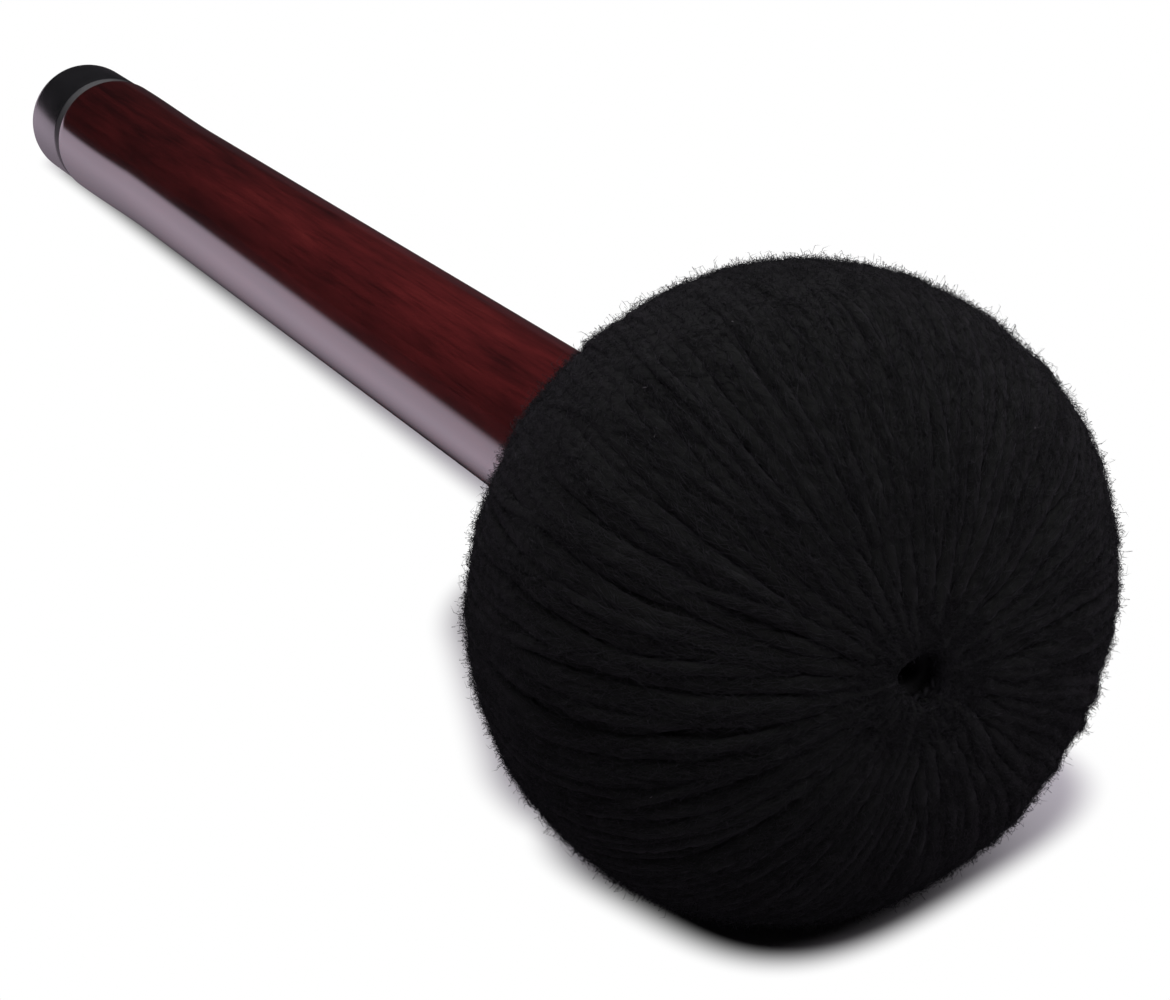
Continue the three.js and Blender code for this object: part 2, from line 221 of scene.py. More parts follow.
def smooth_noise(rng, count, positions, wavelengths):
    """Smooth random curves, one row per copy, each of about unit size, over positions along a length."""
    total = np.zeros((count, len(positions)))
    for wavelength in wavelengths:
        phase = rng.uniform(0, TURN, (count, 1))
        stretch = rng.uniform(0.8, 1.25, (count, 1))
        total += np.sin(TURN * positions / (wavelength * stretch) + phase)
    return total / math.sqrt(len(wavelengths))


# Strands

class Strand:
    """A tube's centre line with, at each step, the way out and the section's half width and half depth."""

    def __init__(self, points, out, half_width, half_depth):
        self.points = np.asarray(points, float)
        self.out = np.asarray(out, float)
        self.half_width = np.broadcast_to(half_width, len(self.points)).astype(float)
        self.half_depth = np.broadcast_to(half_depth, len(self.points)).astype(float)


def tube(strand, sides, plies=0, ply_depth=0.0, lay=1.0):
    """Points and faces of one closed tube, and each face corner's place on the strand: metres along and
    turns round. Plies make ridges that twist round the strand once in each lay."""
    along = unit(np.gradient(strand.points, axis=0))
    side = unit(np.cross(along, strand.out))
    up = np.cross(side, along)
    lengths = np.linalg.norm(np.diff(strand.points, axis=0), axis=1)
    travelled = np.concatenate([[0], np.cumsum(lengths)])
    here = np.arange(sides)
    angles = here * TURN / sides
    wave = 1 + ply_depth * np.cos(plies * (angles[None, :] - TURN * travelled[:, None] / lay))
    across = strand.half_width[:, None] * np.cos(angles) * wave
    over = strand.half_depth[:, None] * np.sin(angles) * wave
    rings = strand.points[:, None] + across[..., None] * side[:, None] + over[..., None] * up[:, None]
    points = np.concatenate([rings.reshape(-1, 3), strand.points[:1], strand.points[-1:]])
    near, far = travelled[:-1, None], travelled[1:, None]
    left, right = here / sides, (here + 1) / sides
    metres = np.broadcast_arrays(near, near, far, far, here)[:4]
    turns = np.broadcast_arrays(left, right, right, left, near)[:4]
    quad_uvs = np.stack([np.stack(metres, -1), np.stack(turns, -1)], -1).reshape(-1, 2)
    fan_uvs = np.repeat([[travelled[0], 0.5], [travelled[-1], 0.5]], 3 * sides, 0)
    return points, list(ring_faces(len(strand.points), sides)), np.concatenate([quad_uvs, fan_uvs])


def fibre_mesh(paths, out, radius):
    """Points and faces of many thin three-sided fibres that end in points, as one array of equal paths."""
    count, rings = paths.shape[0], paths.shape[1] - 2
    along = unit(np.gradient(paths, axis=1))
    side = unit(np.cross(along, out))[:, 1:-1, None]
    up = np.cross(side, along[:, 1:-1, None])
    angles = (np.arange(3) * TURN / 3 + QUARTER)[:, None]
    round_it = paths[:, 1:-1, None] + radius * (np.cos(angles) * side + np.sin(angles) * up)
    points = np.concatenate([round_it.reshape(count, -1, 3), paths[:, :1], paths[:, -1:]], 1)
    quads, first, final = ring_faces(rings, 3)
    tips = np.concatenate([first, final])
    start = np.arange(count)[:, None, None] * (3 * rings + 2)
    return points.reshape(-1, 3), [(quads + start).reshape(-1, 4), (tips + start).reshape(-1, 3)]


# The head's outline

def oval(radius, half_length, t):
    """Radius and height at the outline angle t, which runs from the crown, 0, to the neck, pi."""
    across = radius * np.abs(np.sin(t)) ** (2 / HEAD_FULLNESS)
    along = half_length * np.sign(np.cos(t)) * np.abs(np.cos(t)) ** (2 / HEAD_FULLNESS)
    return across, along


def oval_angle(radius, r):
    """The outline angle at which an oval has the radius r on its crown side."""
    return math.asin((r / radius) ** (HEAD_FULLNESS / 2))


def oval_height(radius, half_length, r):
    return half_length * (1 - (r / radius) ** HEAD_FULLNESS) ** (1 / HEAD_FULLNESS)


class Meridian:
    """The line that a strand follows: up out of the crown hole, over the head and into the neck."""

    def __init__(self, radius, half_length, hole_radius, spacing, dimple=0.0):
        rim = CROWN_RIM_RADIUS
        t_rim = oval_angle(radius, hole_radius + rim)
        t_neck = math.pi - oval_angle(radius, NECK_HOLE + rim)
        r, z = oval(radius, half_length, np.linspace(t_rim, t_neck, 900))
        z = z - dimple * np.exp(-((r / DIMPLE_REACH) ** 2)) * (z > 0)
        wall = [(hole_radius, z[0] - CROWN_HOLE_DEPTH)]
        hole_arc = arc(hole_radius + rim, z[0] - rim, rim, math.pi, QUARTER, 24)
        neck_arc = arc(NECK_HOLE + rim, z[-1] + rim, rim, -QUARTER, -math.pi, 24)
        crease = [(NECK_HOLE, z[-1] + NECK_TUCK)]
        line = np.concatenate([wall, hole_arc, np.stack([r, z], -1)[1:-1], neck_arc, crease])
        length = np.concatenate([[0], np.cumsum(np.linalg.norm(np.diff(line, axis=0), axis=1))])
        steps = int(round(length[-1] / spacing))
        self.s = np.linspace(0, length[-1], steps + 1)
        self.r = np.interp(self.s, length, line[:, 0])
        self.z = np.interp(self.s, length, line[:, 1])
        slope = unit(np.stack([np.gradient(self.r), np.gradient(self.z)], -1))
        self.normal = np.stack([-slope[:, 1], slope[:, 0]], -1)
        self.equator = int(np.argmax(self.r))
        self.crown_side = np.arange(len(self.s)) < self.equator

    def place(self, s, angle, depth):
        """Points at a way s along the line, an angle round the axis and a depth, and the way out there."""
        normal_r = np.interp(s, self.s, self.normal[:, 0])
        normal_z = np.interp(s, self.s, self.normal[:, 1])
        uneven = HOLE_SHIFT[0] * np.cos(angle) + HOLE_SHIFT[1] * np.sin(angle)
        uneven = uneven + HOLE_POINT * np.cos(3 * (angle - HOLE_POINT_ANGLE))
        at_rim = np.exp(-((np.maximum(s - CROWN_HOLE_DEPTH, 0) / HOLE_UNEVEN_REACH) ** 2))
        r = np.interp(s, self.s, self.r) - normal_r * depth + uneven * at_rim
        z = np.interp(s, self.s, self.z) - normal_z * depth
        points = np.stack([r * np.cos(angle), r * np.sin(angle), z], -1)
        return points, np.stack([normal_r * np.cos(angle), normal_r * np.sin(angle), normal_z], -1)


# How yarn lies on the head. Wavelengths run along a strand, and each goes with how far it moves
GROUP_WALK = ((80 * MM, 43 * MM), 0.24 * MM)
GROUP_RISE = ((60 * MM, 31 * MM), 0.11 * MM)
STRAND_WALK = ((44 * MM, 23 * MM), 0.16 * MM)
STRAND_RISE = ((30 * MM, 13 * MM), 0.07 * MM)
LUMP_WAVES = (9 * MM, 5 * MM, 3.4 * MM)
SLUB_WAVES = (37 * MM, 21 * MM)

# Strands draw together in narrow ridges and in broad swells: least and most in a group, then how close it
# is drawn and how far its outer strands sink
GROUP_SIZES = ((2, 4), (5, 8))
GROUP_PULLS = ((0.30, 0.55 * MM), (0.14, 0.62 * MM))

# All strands sway together: waves round the head, and how far they go
SWAYS = ((3, 1.0 * MM), (7, 0.6 * MM), (12, 0.35 * MM))
SWAY_LENGTH = 40 * MM

# Yarn lies freely away from the axis, and calmer where the head is widest and behind that
FREE_RADII = (6 * MM, 26 * MM)
LEVEL_RADII = (40 * MM, 49 * MM)
LEVELLING = 0.45
REAR_BEFORE_WIDEST, REAR_PAST_WIDEST = 12 * MM, 6 * MM
REAR_CALM = 0.8

# Strands that turn back early lie lower: from which rank on, and over which radii
TIER_START = 0.25
TIER_RADII = (7 * MM, 24 * MM)

# A strand with little of its room left sinks, grows thin and at last is buried
SINKING_SHARES = (0.1, 0.75)
SINKING = 1.7
THINNING_SHARES = (0.05, 0.5)
THINNEST = 0.55
BURIED_SHARE = 0.06
LEAST_SHARE = 0.02
LEAST_HALF_WIDTH, MOST_HALF_WIDTH = 0.7 * MM, 1.7 * MM

# Where the ring narrows, strands turn back within a band of ranks, and neighbours move up to fill it
ROOM_PAST_WIDEST = 2 / MM
BAND_SHARE = 0.55
LEAST_BAND, MOST_BAND = 3, 26
NEIGHBOURS = 12
TURN_BULGE = 0.8 * MM

# Fibres start on the outer sides of strands that show, and past a strand's flank they keep their height
FIBRE_SHOWING_SHARES = (0.3, 0.8)
FIBRE_SIDE_ANGLE = 1.35
FLANK = 0.78
LEAST_RING_RADIUS = 2 * MM

# Where yarn is gathered in ridges and furrows: least anywhere, then degrees round, spread and how much more
GATHERED_LEAST = 0.30
GATHERED_SIDES = ((200, 1.0, 0.85), (-35, 0.8, 0.30))

# Where two bundles are drawn apart: degrees round the axis, distance from the axis at the middle of the
# parting, half its length and how far the yarn is pushed to each side
PARTINGS = [
    (-2, 20 * MM, 3.5 * MM, 0.70 * MM),
    (-32, 13 * MM, 2.6 * MM, 0.50 * MM),
    (-60, 17 * MM, 5.0 * MM, 0.60 * MM),
    (-117, 11 * MM, 3.0 * MM, 0.35 * MM),
    (152, 23.5 * MM, 4.5 * MM, 0.55 * MM),
    (167, 32 * MM, 7.5 * MM, 0.70 * MM),
    (-174, 31 * MM, 8.0 * MM, 0.70 * MM),
    (-157, 30 * MM, 9.0 * MM, 0.50 * MM),
    (-140, 27 * MM, 8.0 * MM, 0.50 * MM),
    (-122, 30 * MM, 8.0 * MM, 0.40 * MM),
    (137, 30 * MM, 7.0 * MM, 0.35 * MM),
    (118, 24 * MM, 7.0 * MM, 0.25 * MM),
]
PARTING_FLOOR = 0.9 * MM
PARTING_REACH = 3.2
PARTING_SINK = 0.8

# Strands that cross the others: how they start and end, slant, bow, stray and dip, and how flat they lie
CROSSING_START = 13 * MM
CROSSING_RISE, CROSSING_FALL = 12 * MM, 9 * MM
CROSSING_SLANTS = (0.08, 0.30)
CROSSING_BOW = 0.05
CROSSING_WALK = ((50 * MM, 27 * MM), 0.3 * MM)
CROSSING_DIP = ((52 * MM, 29 * MM), 0.30 * MM)
CROSSING_LIFT = 0.14 * MM
CROSSING_SINKING = 2.1
CROSSING_THINNEST = 0.6
CROSSING_HALF_WIDTH = 1 * MM
CROSSING_FLATNESS = 0.86


def angle_off(angle, degrees):
    """How far an angle is from the one at the given degrees, the short way round."""
    return (angle - math.radians(degrees) + math.pi) % TURN - math.pi


def gathering(angle):
    """How much the yarn is gathered in ridges and furrows: most at the left and below, least at the top."""
    much = GATHERED_LEAST
    for degrees, spread, more in GATHERED_SIDES:
        much = much + more * np.exp(-((angle_off(angle, degrees) / spread) ** 2))
    return much


class Lay:
    """Strands that lie on a head's line. Each has, at each step of the line, its angle round the axis, the
    depth of its middle, its half width and half depth, and the share of it that shows."""

    def __init__(self, line, angle, depth, half_width, half_depth, share):
        self.line, self.angle, self.depth, self.share = line, angle, depth, share
        self.half_width, self.half_depth = half_width, half_depth

    def strand(self, number):
        """The steps of one strand, from the crown end to the neck end, where it isn't buried."""
        shows = np.flatnonzero(self.share[number] > BURIED_SHARE)
        rows = np.arange(shows[0], shows[-1] + 1)
        points, out = self.line.place(self.line.s[rows], self.angle[number, rows], self.depth[number, rows])
        return Strand(points, out, self.half_width[number, rows], self.half_depth[number, rows])

    def joined(self, first=0, last=None):
        """One unbroken strand through legs that run out and back, from the first up to the last, with a
        buried half turn between each two."""
        points, out, width, depth = [], [], [], []
        for number in range(first, len(self.angle) if last is None else last):
            leg = self.strand(number)
            order = slice(None) if (number - first) % 2 else slice(None, None, -1)
            if points:
                start, end = points[-1][-1], leg.points[order][0]
                outward = unit(out[-1][-1] + leg.out[order][0])
                along = unit(points[-1][-1] - points[-1][-2])
                bulge = min(np.linalg.norm(end - start) / 2, TURN_BULGE)
                turn = np.linspace(0, math.pi, 7)[1:-1, None]
                bend = (start + end) / 2 + (start - end) / 2 * np.cos(turn) + along * bulge * np.sin(turn)
                points.append(bend)
                out.append(np.tile(outward, (len(bend), 1)))
                width.append(np.full(len(bend), width[-1][-1]))
                depth.append(np.full(len(bend), depth[-1][-1]))
            points.append(leg.points[order])
            out.append(leg.out[order])
            width.append(leg.half_width[order])
            depth.append(leg.half_depth[order])
        return Strand(*(np.concatenate(steps) for steps in (points, out, width, depth)))

    def scattered(self, rng, count):
        """Random places on the strands' outer sides: strand, way along it and way across it."""
        weight = np.cumsum((self.half_width * smoothstep(self.share, *FIBRE_SHOWING_SHARES)).ravel())
        pick = np.minimum(np.searchsorted(weight, rng.uniform(0, weight[-1], count)), len(weight) - 1)
        number, row = np.divmod(pick, len(self.line.s))
        s = self.line.s[row] + rng.uniform(-0.5, 0.5, count) * self.line.s[1]
        sideways = np.sin(rng.uniform(-FIBRE_SIDE_ANGLE, FIBRE_SIDE_ANGLE, count))
        return number, s, sideways * self.half_width[number, row]

    def surface(self, number, s, across, lift):
        """Points over one strand each, at a way along it, a way across it and a height over its surface.
        Past the strand's flanks they keep their height, and so bridge the furrow."""
        s = np.clip(s, 0, self.line.s[-2])
        row = (s / self.line.s[1]).astype(int)
        part = s / self.line.s[1] - row
        number = number[:, None]

        def read(values):
            return values[number, row] * (1 - part) + values[number, row + 1] * part

        off = np.clip(across / read(self.half_width), -FLANK, FLANK)
        height = read(self.half_depth) * np.sqrt(1 - off ** 2)
        r = np.maximum(np.interp(s, self.line.s, self.line.r), LEAST_RING_RADIUS)
        return self.line.place(s, read(self.angle) + across / r, read(self.depth) - height - lift)


class Winding(Lay):
    """How a winding of loops lies: each loop runs from the neck to the crown and back, turns under its
    neighbours where the ring gets too narrow for all, and lies as irregularly as wound yarn does."""

    def __init__(
        self, line, loops, seed, crown_width, neck_width, wide_width, half_depth, twist, wander,
        tier_depth=0.0, strand_share=0.66,
    ):
        self.line, self.legs, self.wander = line, 2 * loops, wander
        self.rng = np.random.default_rng(seed)
        golden = (math.sqrt(5) - 1) / 2
        crown_rank = (np.arange(self.legs) * golden + self.rng.normal(0, 0.06, self.legs)) % 1
        s, r, widest = line.s, line.r, line.s[line.equator]
        self.free = smoothstep(r, *FREE_RADII)
        self.rear = smoothstep(s, widest - REAR_BEFORE_WIDEST, widest + REAR_PAST_WIDEST)
        self.level = 1 - LEVELLING * smoothstep(r, *LEVEL_RADII)
        self.spread_out(crown_rank, crown_width, neck_width, wide_width)
        self.angle += twist * np.cos(np.pi * s / s[-1])[None, :]
        self.draw_together()
        self.stray(self.legs, slice(None), STRAND_WALK, STRAND_RISE)
        for waves, reach in SWAYS:
            phase, drift = self.rng.uniform(0, TURN), self.rng.uniform(-0.6, 0.6)
            field = np.sin(waves * self.angle + drift * s / SWAY_LENGTH + phase)
            self.angle += field * reach * wander / HEAD_RADIUS

        # Strands that stop short of the crown lie lower all the way, so the others stand out as ridges
        lower = (crown_rank[:, None] - TIER_START) * tier_depth * smoothstep(r, *TIER_RADII)
        self.depth += np.maximum(lower, 0) * gathering(self.angle) * self.level
        self.depth = half_depth + self.depth * (1 - REAR_CALM * self.rear)
        self.depth += (1 - smoothstep(self.share, *SINKING_SHARES)) * SINKING * half_depth
        lumps = smooth_noise(self.rng, self.legs, s, LUMP_WAVES)
        lumps += smooth_noise(self.rng, self.legs, s, SLUB_WAVES)
        thin = THINNEST + (1 - THINNEST) * smoothstep(self.share, *THINNING_SHARES)
        self.half_depth = half_depth * (1 + 0.05 * lumps) * thin
        full = np.clip(self.width * (strand_share + 0.25 * self.rear), LEAST_HALF_WIDTH, MOST_HALF_WIDTH)
        self.half_width = full * (1 + 0.07 * lumps) * thin

    def spread_out(self, crown_rank, crown_width, neck_width, wide_width):
        """Shares the ring out among the strands. Each keeps to its own spoke, and only gives way to its
        near neighbours."""
        s, r, equator, legs = self.line.s, self.line.r, self.line.equator, self.legs

        def share(rank, width, side):
            """What shows of strands that turn back by rank, where the ring narrows on one side."""
            room = TURN * r / (width + (wide_width - width) / HEAD_RADIUS * r)
            past = side * (s - s[equator]) * ROOM_PAST_WIDEST
            room = np.where(side * (np.arange(len(s)) - equator) <= 0, room, room[equator] + past)
            turn = rank[:, None] * legs
            band = np.clip(BAND_SHARE * turn, LEAST_BAND, MOST_BAND)
            return smoothstep(room[None, :], turn - band, turn + band)

        showing = share(crown_rank, crown_width, 1) * share(1 - crown_rank, neck_width, -1)
        self.share = np.maximum(showing, LEAST_SHARE)
        total = self.share.sum(0)
        self.width = TURN * r * self.share / total
        spoke = TURN * (np.arange(legs)[:, None] + 0.5) / legs
        moved = TURN * (np.cumsum(self.share, 0) - self.share / 2) / total - spoke
        self.angle = spoke + moved - self.nearby_mean(moved, NEIGHBOURS)

    def draw_together(self):
        """Draws strands together in narrow ridges and in broad swells, whose outer strands lie lower."""
        self.depth = np.zeros(self.angle.shape)
        drawn = [self.rng.integers(least, most + 1, self.legs) for least, most in GROUP_SIZES]
        for members, (pull, sink) in zip(drawn, GROUP_PULLS):
            group = np.searchsorted(np.cumsum(members), np.arange(self.legs), side="right")
            size = np.bincount(group)
            middle = np.array([np.bincount(group, column) / size for column in self.angle.T]).T[group]
            off = self.angle - middle
            gather = self.free * self.level * gathering(middle) * self.wander
            self.angle = middle + off * (1 - pull * gather)
            widest = np.maximum(np.bincount(group, np.abs(off).max(1)) / size * 2, 1e-4)[group, None]
            self.depth = self.depth + sink * gather * np.clip(np.abs(off) / widest, 0, 1) ** 2
            self.stray(len(size), group, GROUP_WALK, GROUP_RISE)

    def stray(self, count, group, walk, rise):
        """Lets strands, one by one or in groups, stray to the side and up and down."""
        sideways = smooth_noise(self.rng, count, self.line.s, walk[0])[group]
        upward = smooth_noise(self.rng, count, self.line.s, rise[0])[group]
        self.angle += sideways * walk[1] * self.wander * self.free / self.line.r
        self.depth -= upward * rise[1] * self.free

    @staticmethod
    def nearby_mean(values, reach):
        """The mean of each strand's values and those of its neighbours up to a reach on either side."""
        count = len(values)
        sums = np.cumsum(np.concatenate([values[-reach:], values, values[:reach]]), 0)
        sums = np.concatenate([np.zeros((1, values.shape[1])), sums])
        return (sums[2 * reach + 1:] - sums[:count]) / (2 * reach + 1)

    def part(self, partings):
        """Pushes strands aside where bundles are drawn apart."""
        for degrees, middle, half_length, push in partings:
            off = angle_off(self.angle, degrees)
            along = np.exp(-(((self.line.r - middle) / half_length) ** 2)) * self.line.crown_side
            distance = off * self.line.r
            aside = push * np.sign(off) * np.exp(-np.abs(distance) / (PARTING_REACH * push))
            self.angle += aside * along / self.line.r
            self.depth += PARTING_SINK * push * np.exp(-((distance / PARTING_FLOOR) ** 2)) * along


def crossing_lay(line, count, half_depth, seed):
    """Strands that cross over the others at a slight slant, and dip in and out between them."""
    rng = np.random.default_rng(seed)
    s = line.s
    start_s = np.interp(CROSSING_START, line.r[:line.equator], s[:line.equator])
    end_s = s[-8]
    way = (s - start_s) / (end_s - start_s)
    rising = smoothstep(s, start_s, start_s + CROSSING_RISE)
    share = rising * smoothstep(-s, -end_s, CROSSING_FALL - end_s)
    start = TURN * (np.arange(count) + rng.uniform(-0.4, 0.4, count))[:, None] / count
    slant = (rng.choice([-1, 1], count) * rng.uniform(*CROSSING_SLANTS, count))[:, None]
    bow = rng.uniform(-CROSSING_BOW, CROSSING_BOW, (count, 1))
    angle = start + slant * (way - 0.35) + bow * np.sin(math.pi * way)
    angle += smooth_noise(rng, count, s, CROSSING_WALK[0]) * CROSSING_WALK[1] / line.r
    dip = smooth_noise(rng, count, s, CROSSING_DIP[0]) * CROSSING_DIP[1]
    depth = half_depth - CROSSING_LIFT + dip + CROSSING_SINKING * half_depth * (1 - share)
    lumps = smooth_noise(rng, count, s, LUMP_WAVES)
    thin = CROSSING_THINNEST + (1 - CROSSING_THINNEST) * share
    half_width = CROSSING_HALF_WIDTH * (1 + 0.08 * lumps) * thin
    flat_depth = half_depth * (CROSSING_FLATNESS + 0.06 * lumps) * thin
    return Lay(line, angle, depth, half_width, flat_depth, np.broadcast_to(share, depth.shape))


# The yarn on the head: three lengths side by side, one that crosses them, a layer under them, the padding
LOOPS = 84
SKEINS = 3
UNDER_LOOPS = 52
PADDING_LOOPS = 60
CROSSINGS = 46
STRAND_HALF_DEPTH = 0.95 * MM
UNDER_DEPTH = 0.95 * MM
YARN_LAY = 9 * MM
PRESS_HEIGHT = 1.4 * MM

HEAD_LINE = Meridian(HEAD_RADIUS, HEAD_HALF_LENGTH, CROWN_HOLE_RADIUS + 0.5 * MM, 1.4 * MM, dimple=0.4 * MM)
OUTER_YARN = Winding(
    HEAD_LINE, LOOPS, SEED, crown_width=1.8 * MM, neck_width=1.6 * MM, wide_width=1.85 * MM,
    half_depth=STRAND_HALF_DEPTH, twist=0.12, wander=1.0, tier_depth=0.8 * MM, strand_share=0.76,
)
OUTER_YARN.part(PARTINGS)
CROSSING_YARN = crossing_lay(HEAD_LINE, CROSSINGS, STRAND_HALF_DEPTH, SEED + 4)
UNDER_LINE = Meridian(
    HEAD_RADIUS - UNDER_DEPTH, HEAD_HALF_LENGTH - UNDER_DEPTH, CROWN_HOLE_RADIUS + 1.2 * MM, 2.2 * MM,
    dimple=0.6 * MM,
)
UNDER_YARN = Winding(
    UNDER_LINE, UNDER_LOOPS, SEED + 3, crown_width=1.6 * MM, neck_width=1.7 * MM, wide_width=2.9 * MM,
    half_depth=0.8 * MM, twist=-0.16, wander=0.5,
)


def pressed(points):
    """Frame points of soft yarn, with the lowest pressed flat on the floor."""
    z = points[:, 2]
    lowest = np.minimum(z - PRESS_HEIGHT, 0)
    points[:, 2] = np.where(z < PRESS_HEIGHT, PRESS_HEIGHT * np.exp(lowest / PRESS_HEIGHT), z)
    return points


def yarn_winding(material):
    """The outer yarn: a lower layer, three lengths side by side over it and one that crosses them."""
    share = 2 * LOOPS // SKEINS
    strands = [("under", UNDER_YARN.joined(), 7)]
    strands += [(str(n + 1), OUTER_YARN.joined(share * n, share * (n + 1)), 8) for n in range(SKEINS)]
    strands += [("over", CROSSING_YARN.joined(), 8)]
    pieces = []
    for name, strand, sides in strands:
        points, faces, uvs = tube(strand, sides, plies=3, ply_depth=0.07, lay=YARN_LAY)
        piece = add_piece("yarn_winding_" + name, pressed(in_frame(points)), faces, material, uvs, 0)
        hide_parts("yarn_winding")
        pieces.append(piece)
    return pieces


def padding_yarn(material):
    """The ball of padding yarn under the outer yarn: its own turns over a hollow body."""
    line = Meridian(UNDERLAY_RADIUS, UNDERLAY_HALF_LENGTH, CROWN_HOLE_RADIUS, 2.4 * MM)
    winding = Winding(
        line, PADDING_LOOPS, SEED + 1, crown_width=1.6 * MM, neck_width=1.8 * MM, wide_width=2.4 * MM,
        half_depth=1.1 * MM, twist=-0.2, wander=0.7,
    )
    points, strand_faces, uvs = tube(winding.joined(), 6, plies=3, ply_depth=0.1, lay=YARN_LAY)
    rounding = FELT_DISC_THICKNESS + CLEARANCE
    cavity_z = CORE_HALF_LENGTH + CLEARANCE + rounding
    inner_rim = CORE_RADIUS + FELT_THICKNESS + 2 * CLEARANCE - rounding
    radius, half_length = UNDERLAY_RADIUS - 1.3 * MM, UNDERLAY_HALF_LENGTH - 1.3 * MM
    t = np.linspace(math.pi - oval_angle(radius, NECK_BORE), oval_angle(radius, CROWN_HOLE_RADIUS), 48)
    outside = list(zip(*oval(radius, half_length, t)))
    hole_floor = outside[-1][1] - CROWN_HOLE_DEPTH
    near_axis = 0.2 * MM
    body = outside + [
        (CROWN_HOLE_RADIUS, hole_floor),
        (near_axis, hole_floor),
        (near_axis, cavity_z),
        *arc(inner_rim, cavity_z - rounding, rounding, QUARTER, 0),
        *arc(inner_rim, rounding - cavity_z, rounding, 0, -QUARTER),
        (NECK_BORE, -cavity_z),
    ]
    ball_points, ball_faces = turned(body, 96)
    everything = np.concatenate([points, ball_points])
    faces = [*strand_faces, *(f + len(points) for f in ball_faces)]
    piece = add_piece("padding_yarn", pressed(in_frame(everything)), faces, material, uvs, 0)
    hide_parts("underlay_winding")
    return piece


def neck_yarn(material):
    """Yarn bound round the handle at the neck: out of the head, round the handle and out in a tail. Its
    first turn is tucked into the neck of the head, so that no handle shows between them."""
    half = BINDING_THICKNESS / 2
    radius = NECK_BORE + half
    start_z = -oval_height(UNDERLAY_RADIUS, UNDERLAY_HALF_LENGTH, radius) - CLEARANCE
    tail = BINDING_THICKNESS
    bend = np.linspace(0, QUARTER, 5)[1:]
    coil = np.linspace(0, BINDING_TURNS * TURN, BINDING_TURNS * 96 + 1)[1:]
    angle, z = [np.zeros(1)], [np.full(1, start_z)]
    for turned_by, moved_by in (
        (BINDING_TUCK * (1 - np.cos(bend)) / radius, BINDING_TUCK * np.sin(bend)),
        (coil, BINDING_PITCH * coil / TURN),
        (tail * np.sin(bend) / radius, tail * (1 - np.cos(bend))),
        (np.zeros(1), np.full(1, tail)),
    ):
        angle.append(angle[-1][-1] + turned_by)
        z.append(z[-1][-1] - moved_by)
    angle, z = np.concatenate(angle) - QUARTER, np.concatenate(z)
    round_axis = np.stack([np.cos(angle), np.sin(angle)], -1)
    points = np.concatenate([radius * round_axis, z[:, None]], -1)
    out = np.concatenate([round_axis, np.zeros((len(angle), 1))], -1)
    strand = Strand(points, out, half * BINDING_SPREAD, half)
    made, faces, uvs = tube(strand, 14, plies=3, ply_depth=0.12, lay=YARN_LAY)
    piece = add_piece("neck_binding_yarn", in_frame(made), faces, material, uvs, 0)
    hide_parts("neck_binding")
    return piece


def crown_thread(material):
    """The stitch that gathers the turns at the crown, whipped round the rim of the hole."""
    a = np.linspace(0, TURN * 0.995, 240)
    z = UNDERLAY_HALF_LENGTH + CLEARANCE + 0.5 * MM + STITCH_LIFT * np.sin(STITCHES * a)
    r = STITCH_RING_RADIUS + STITCH_SWING * np.cos(STITCHES * a)
    points = np.stack([r * np.cos(a), r * np.sin(a), z], -1)
    out = np.broadcast_to([0, 0, 1], points.shape)
    made, faces, uvs = tube(Strand(points, out, STITCH_THREAD_RADIUS, STITCH_THREAD_RADIUS), 8)
    piece = add_piece("crown_thread", in_frame(made), faces, material, uvs, 0)
    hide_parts("crown_stitching")
    return piece


# Loose fibres, shared out among the layers of yarn
FIBRES_IN_PIECE = 32000
FIBRE_PIECES = 3
FIBRE_SHARES = ((OUTER_YARN, 0.66), (CROSSING_YARN, 0.16), (UNDER_YARN, 0.18))
FIBRE_THIN = 1.0

# Sizes that vary are given as least and most, or where few are large as a gamma distribution's shape and
# scale: the lengths of lying and crown fibres, the middle lift of lying ones, standing rise and reach
LYING_RADIUS = 0.042 * MM
LYING_LENGTH = (5.0, 0.75 * MM)
LYING_LIFT = (2.0, 0.17 * MM)
LYING_END_LIFT = (-0.08 * MM, 0.12 * MM)
MATTED_BEFORE_WIDEST = 16 * MM
MATTED_CROWN = (12 * MM, 20 * MM)
STANDING_RADIUS = 0.036 * MM
STANDING_RISE = (3.2, 0.235 * MM)
STANDING_REACH = (2.6, 0.46 * MM)
STANDING_ROOT = 0.05 * MM
CROWN_FIBRES = 9000
CROWN_FIBRE_RADIUS = 0.045 * MM
CROWN_FIBRE_LENGTH = (4.0, 0.6 * MM)
CROWN_FIBRE_RING = (4.0 * MM, 12.5 * MM)
LONG_FIBRES = 36
LONG_FIBRE_RADIUS = 0.018 * MM
LONG_FIBRE_LENGTHS = (4 * MM, 13 * MM)
LONG_FIBRE_RISES = (0.6 * MM, 2.6 * MM)

# Specks of pale lint on the yarn, as an angle in degrees and a distance from the axis
LINT_RADIUS = 0.07 * MM
LINT_HEIGHT = 0.12 * MM
LINT = [
    (106, 49.3 * MM), (124, 49.1 * MM), (130, 46.7 * MM),
    (49, 38.5 * MM), (-75, 44 * MM), (-160, 40 * MM),
]


def scattered(rng, count, least=0.0, most=HEAD_RADIUS):
    """Random places all over the head's outer surface, as a way along the head's line and an angle, or
    only those on the crown side between two distances from the axis."""
    line = HEAD_LINE
    beyond_hole = line.r > max(least, CROWN_HOLE_RADIUS + 0.8 * MM)
    wanted = beyond_hole & ((most == HEAD_RADIUS) | line.crown_side)
    area = np.cumsum(line.r * wanted * (line.r <= most))
    s = np.interp(rng.uniform(0, area[-1], count), area, line.s)
    return s, rng.uniform(0, TURN, count)


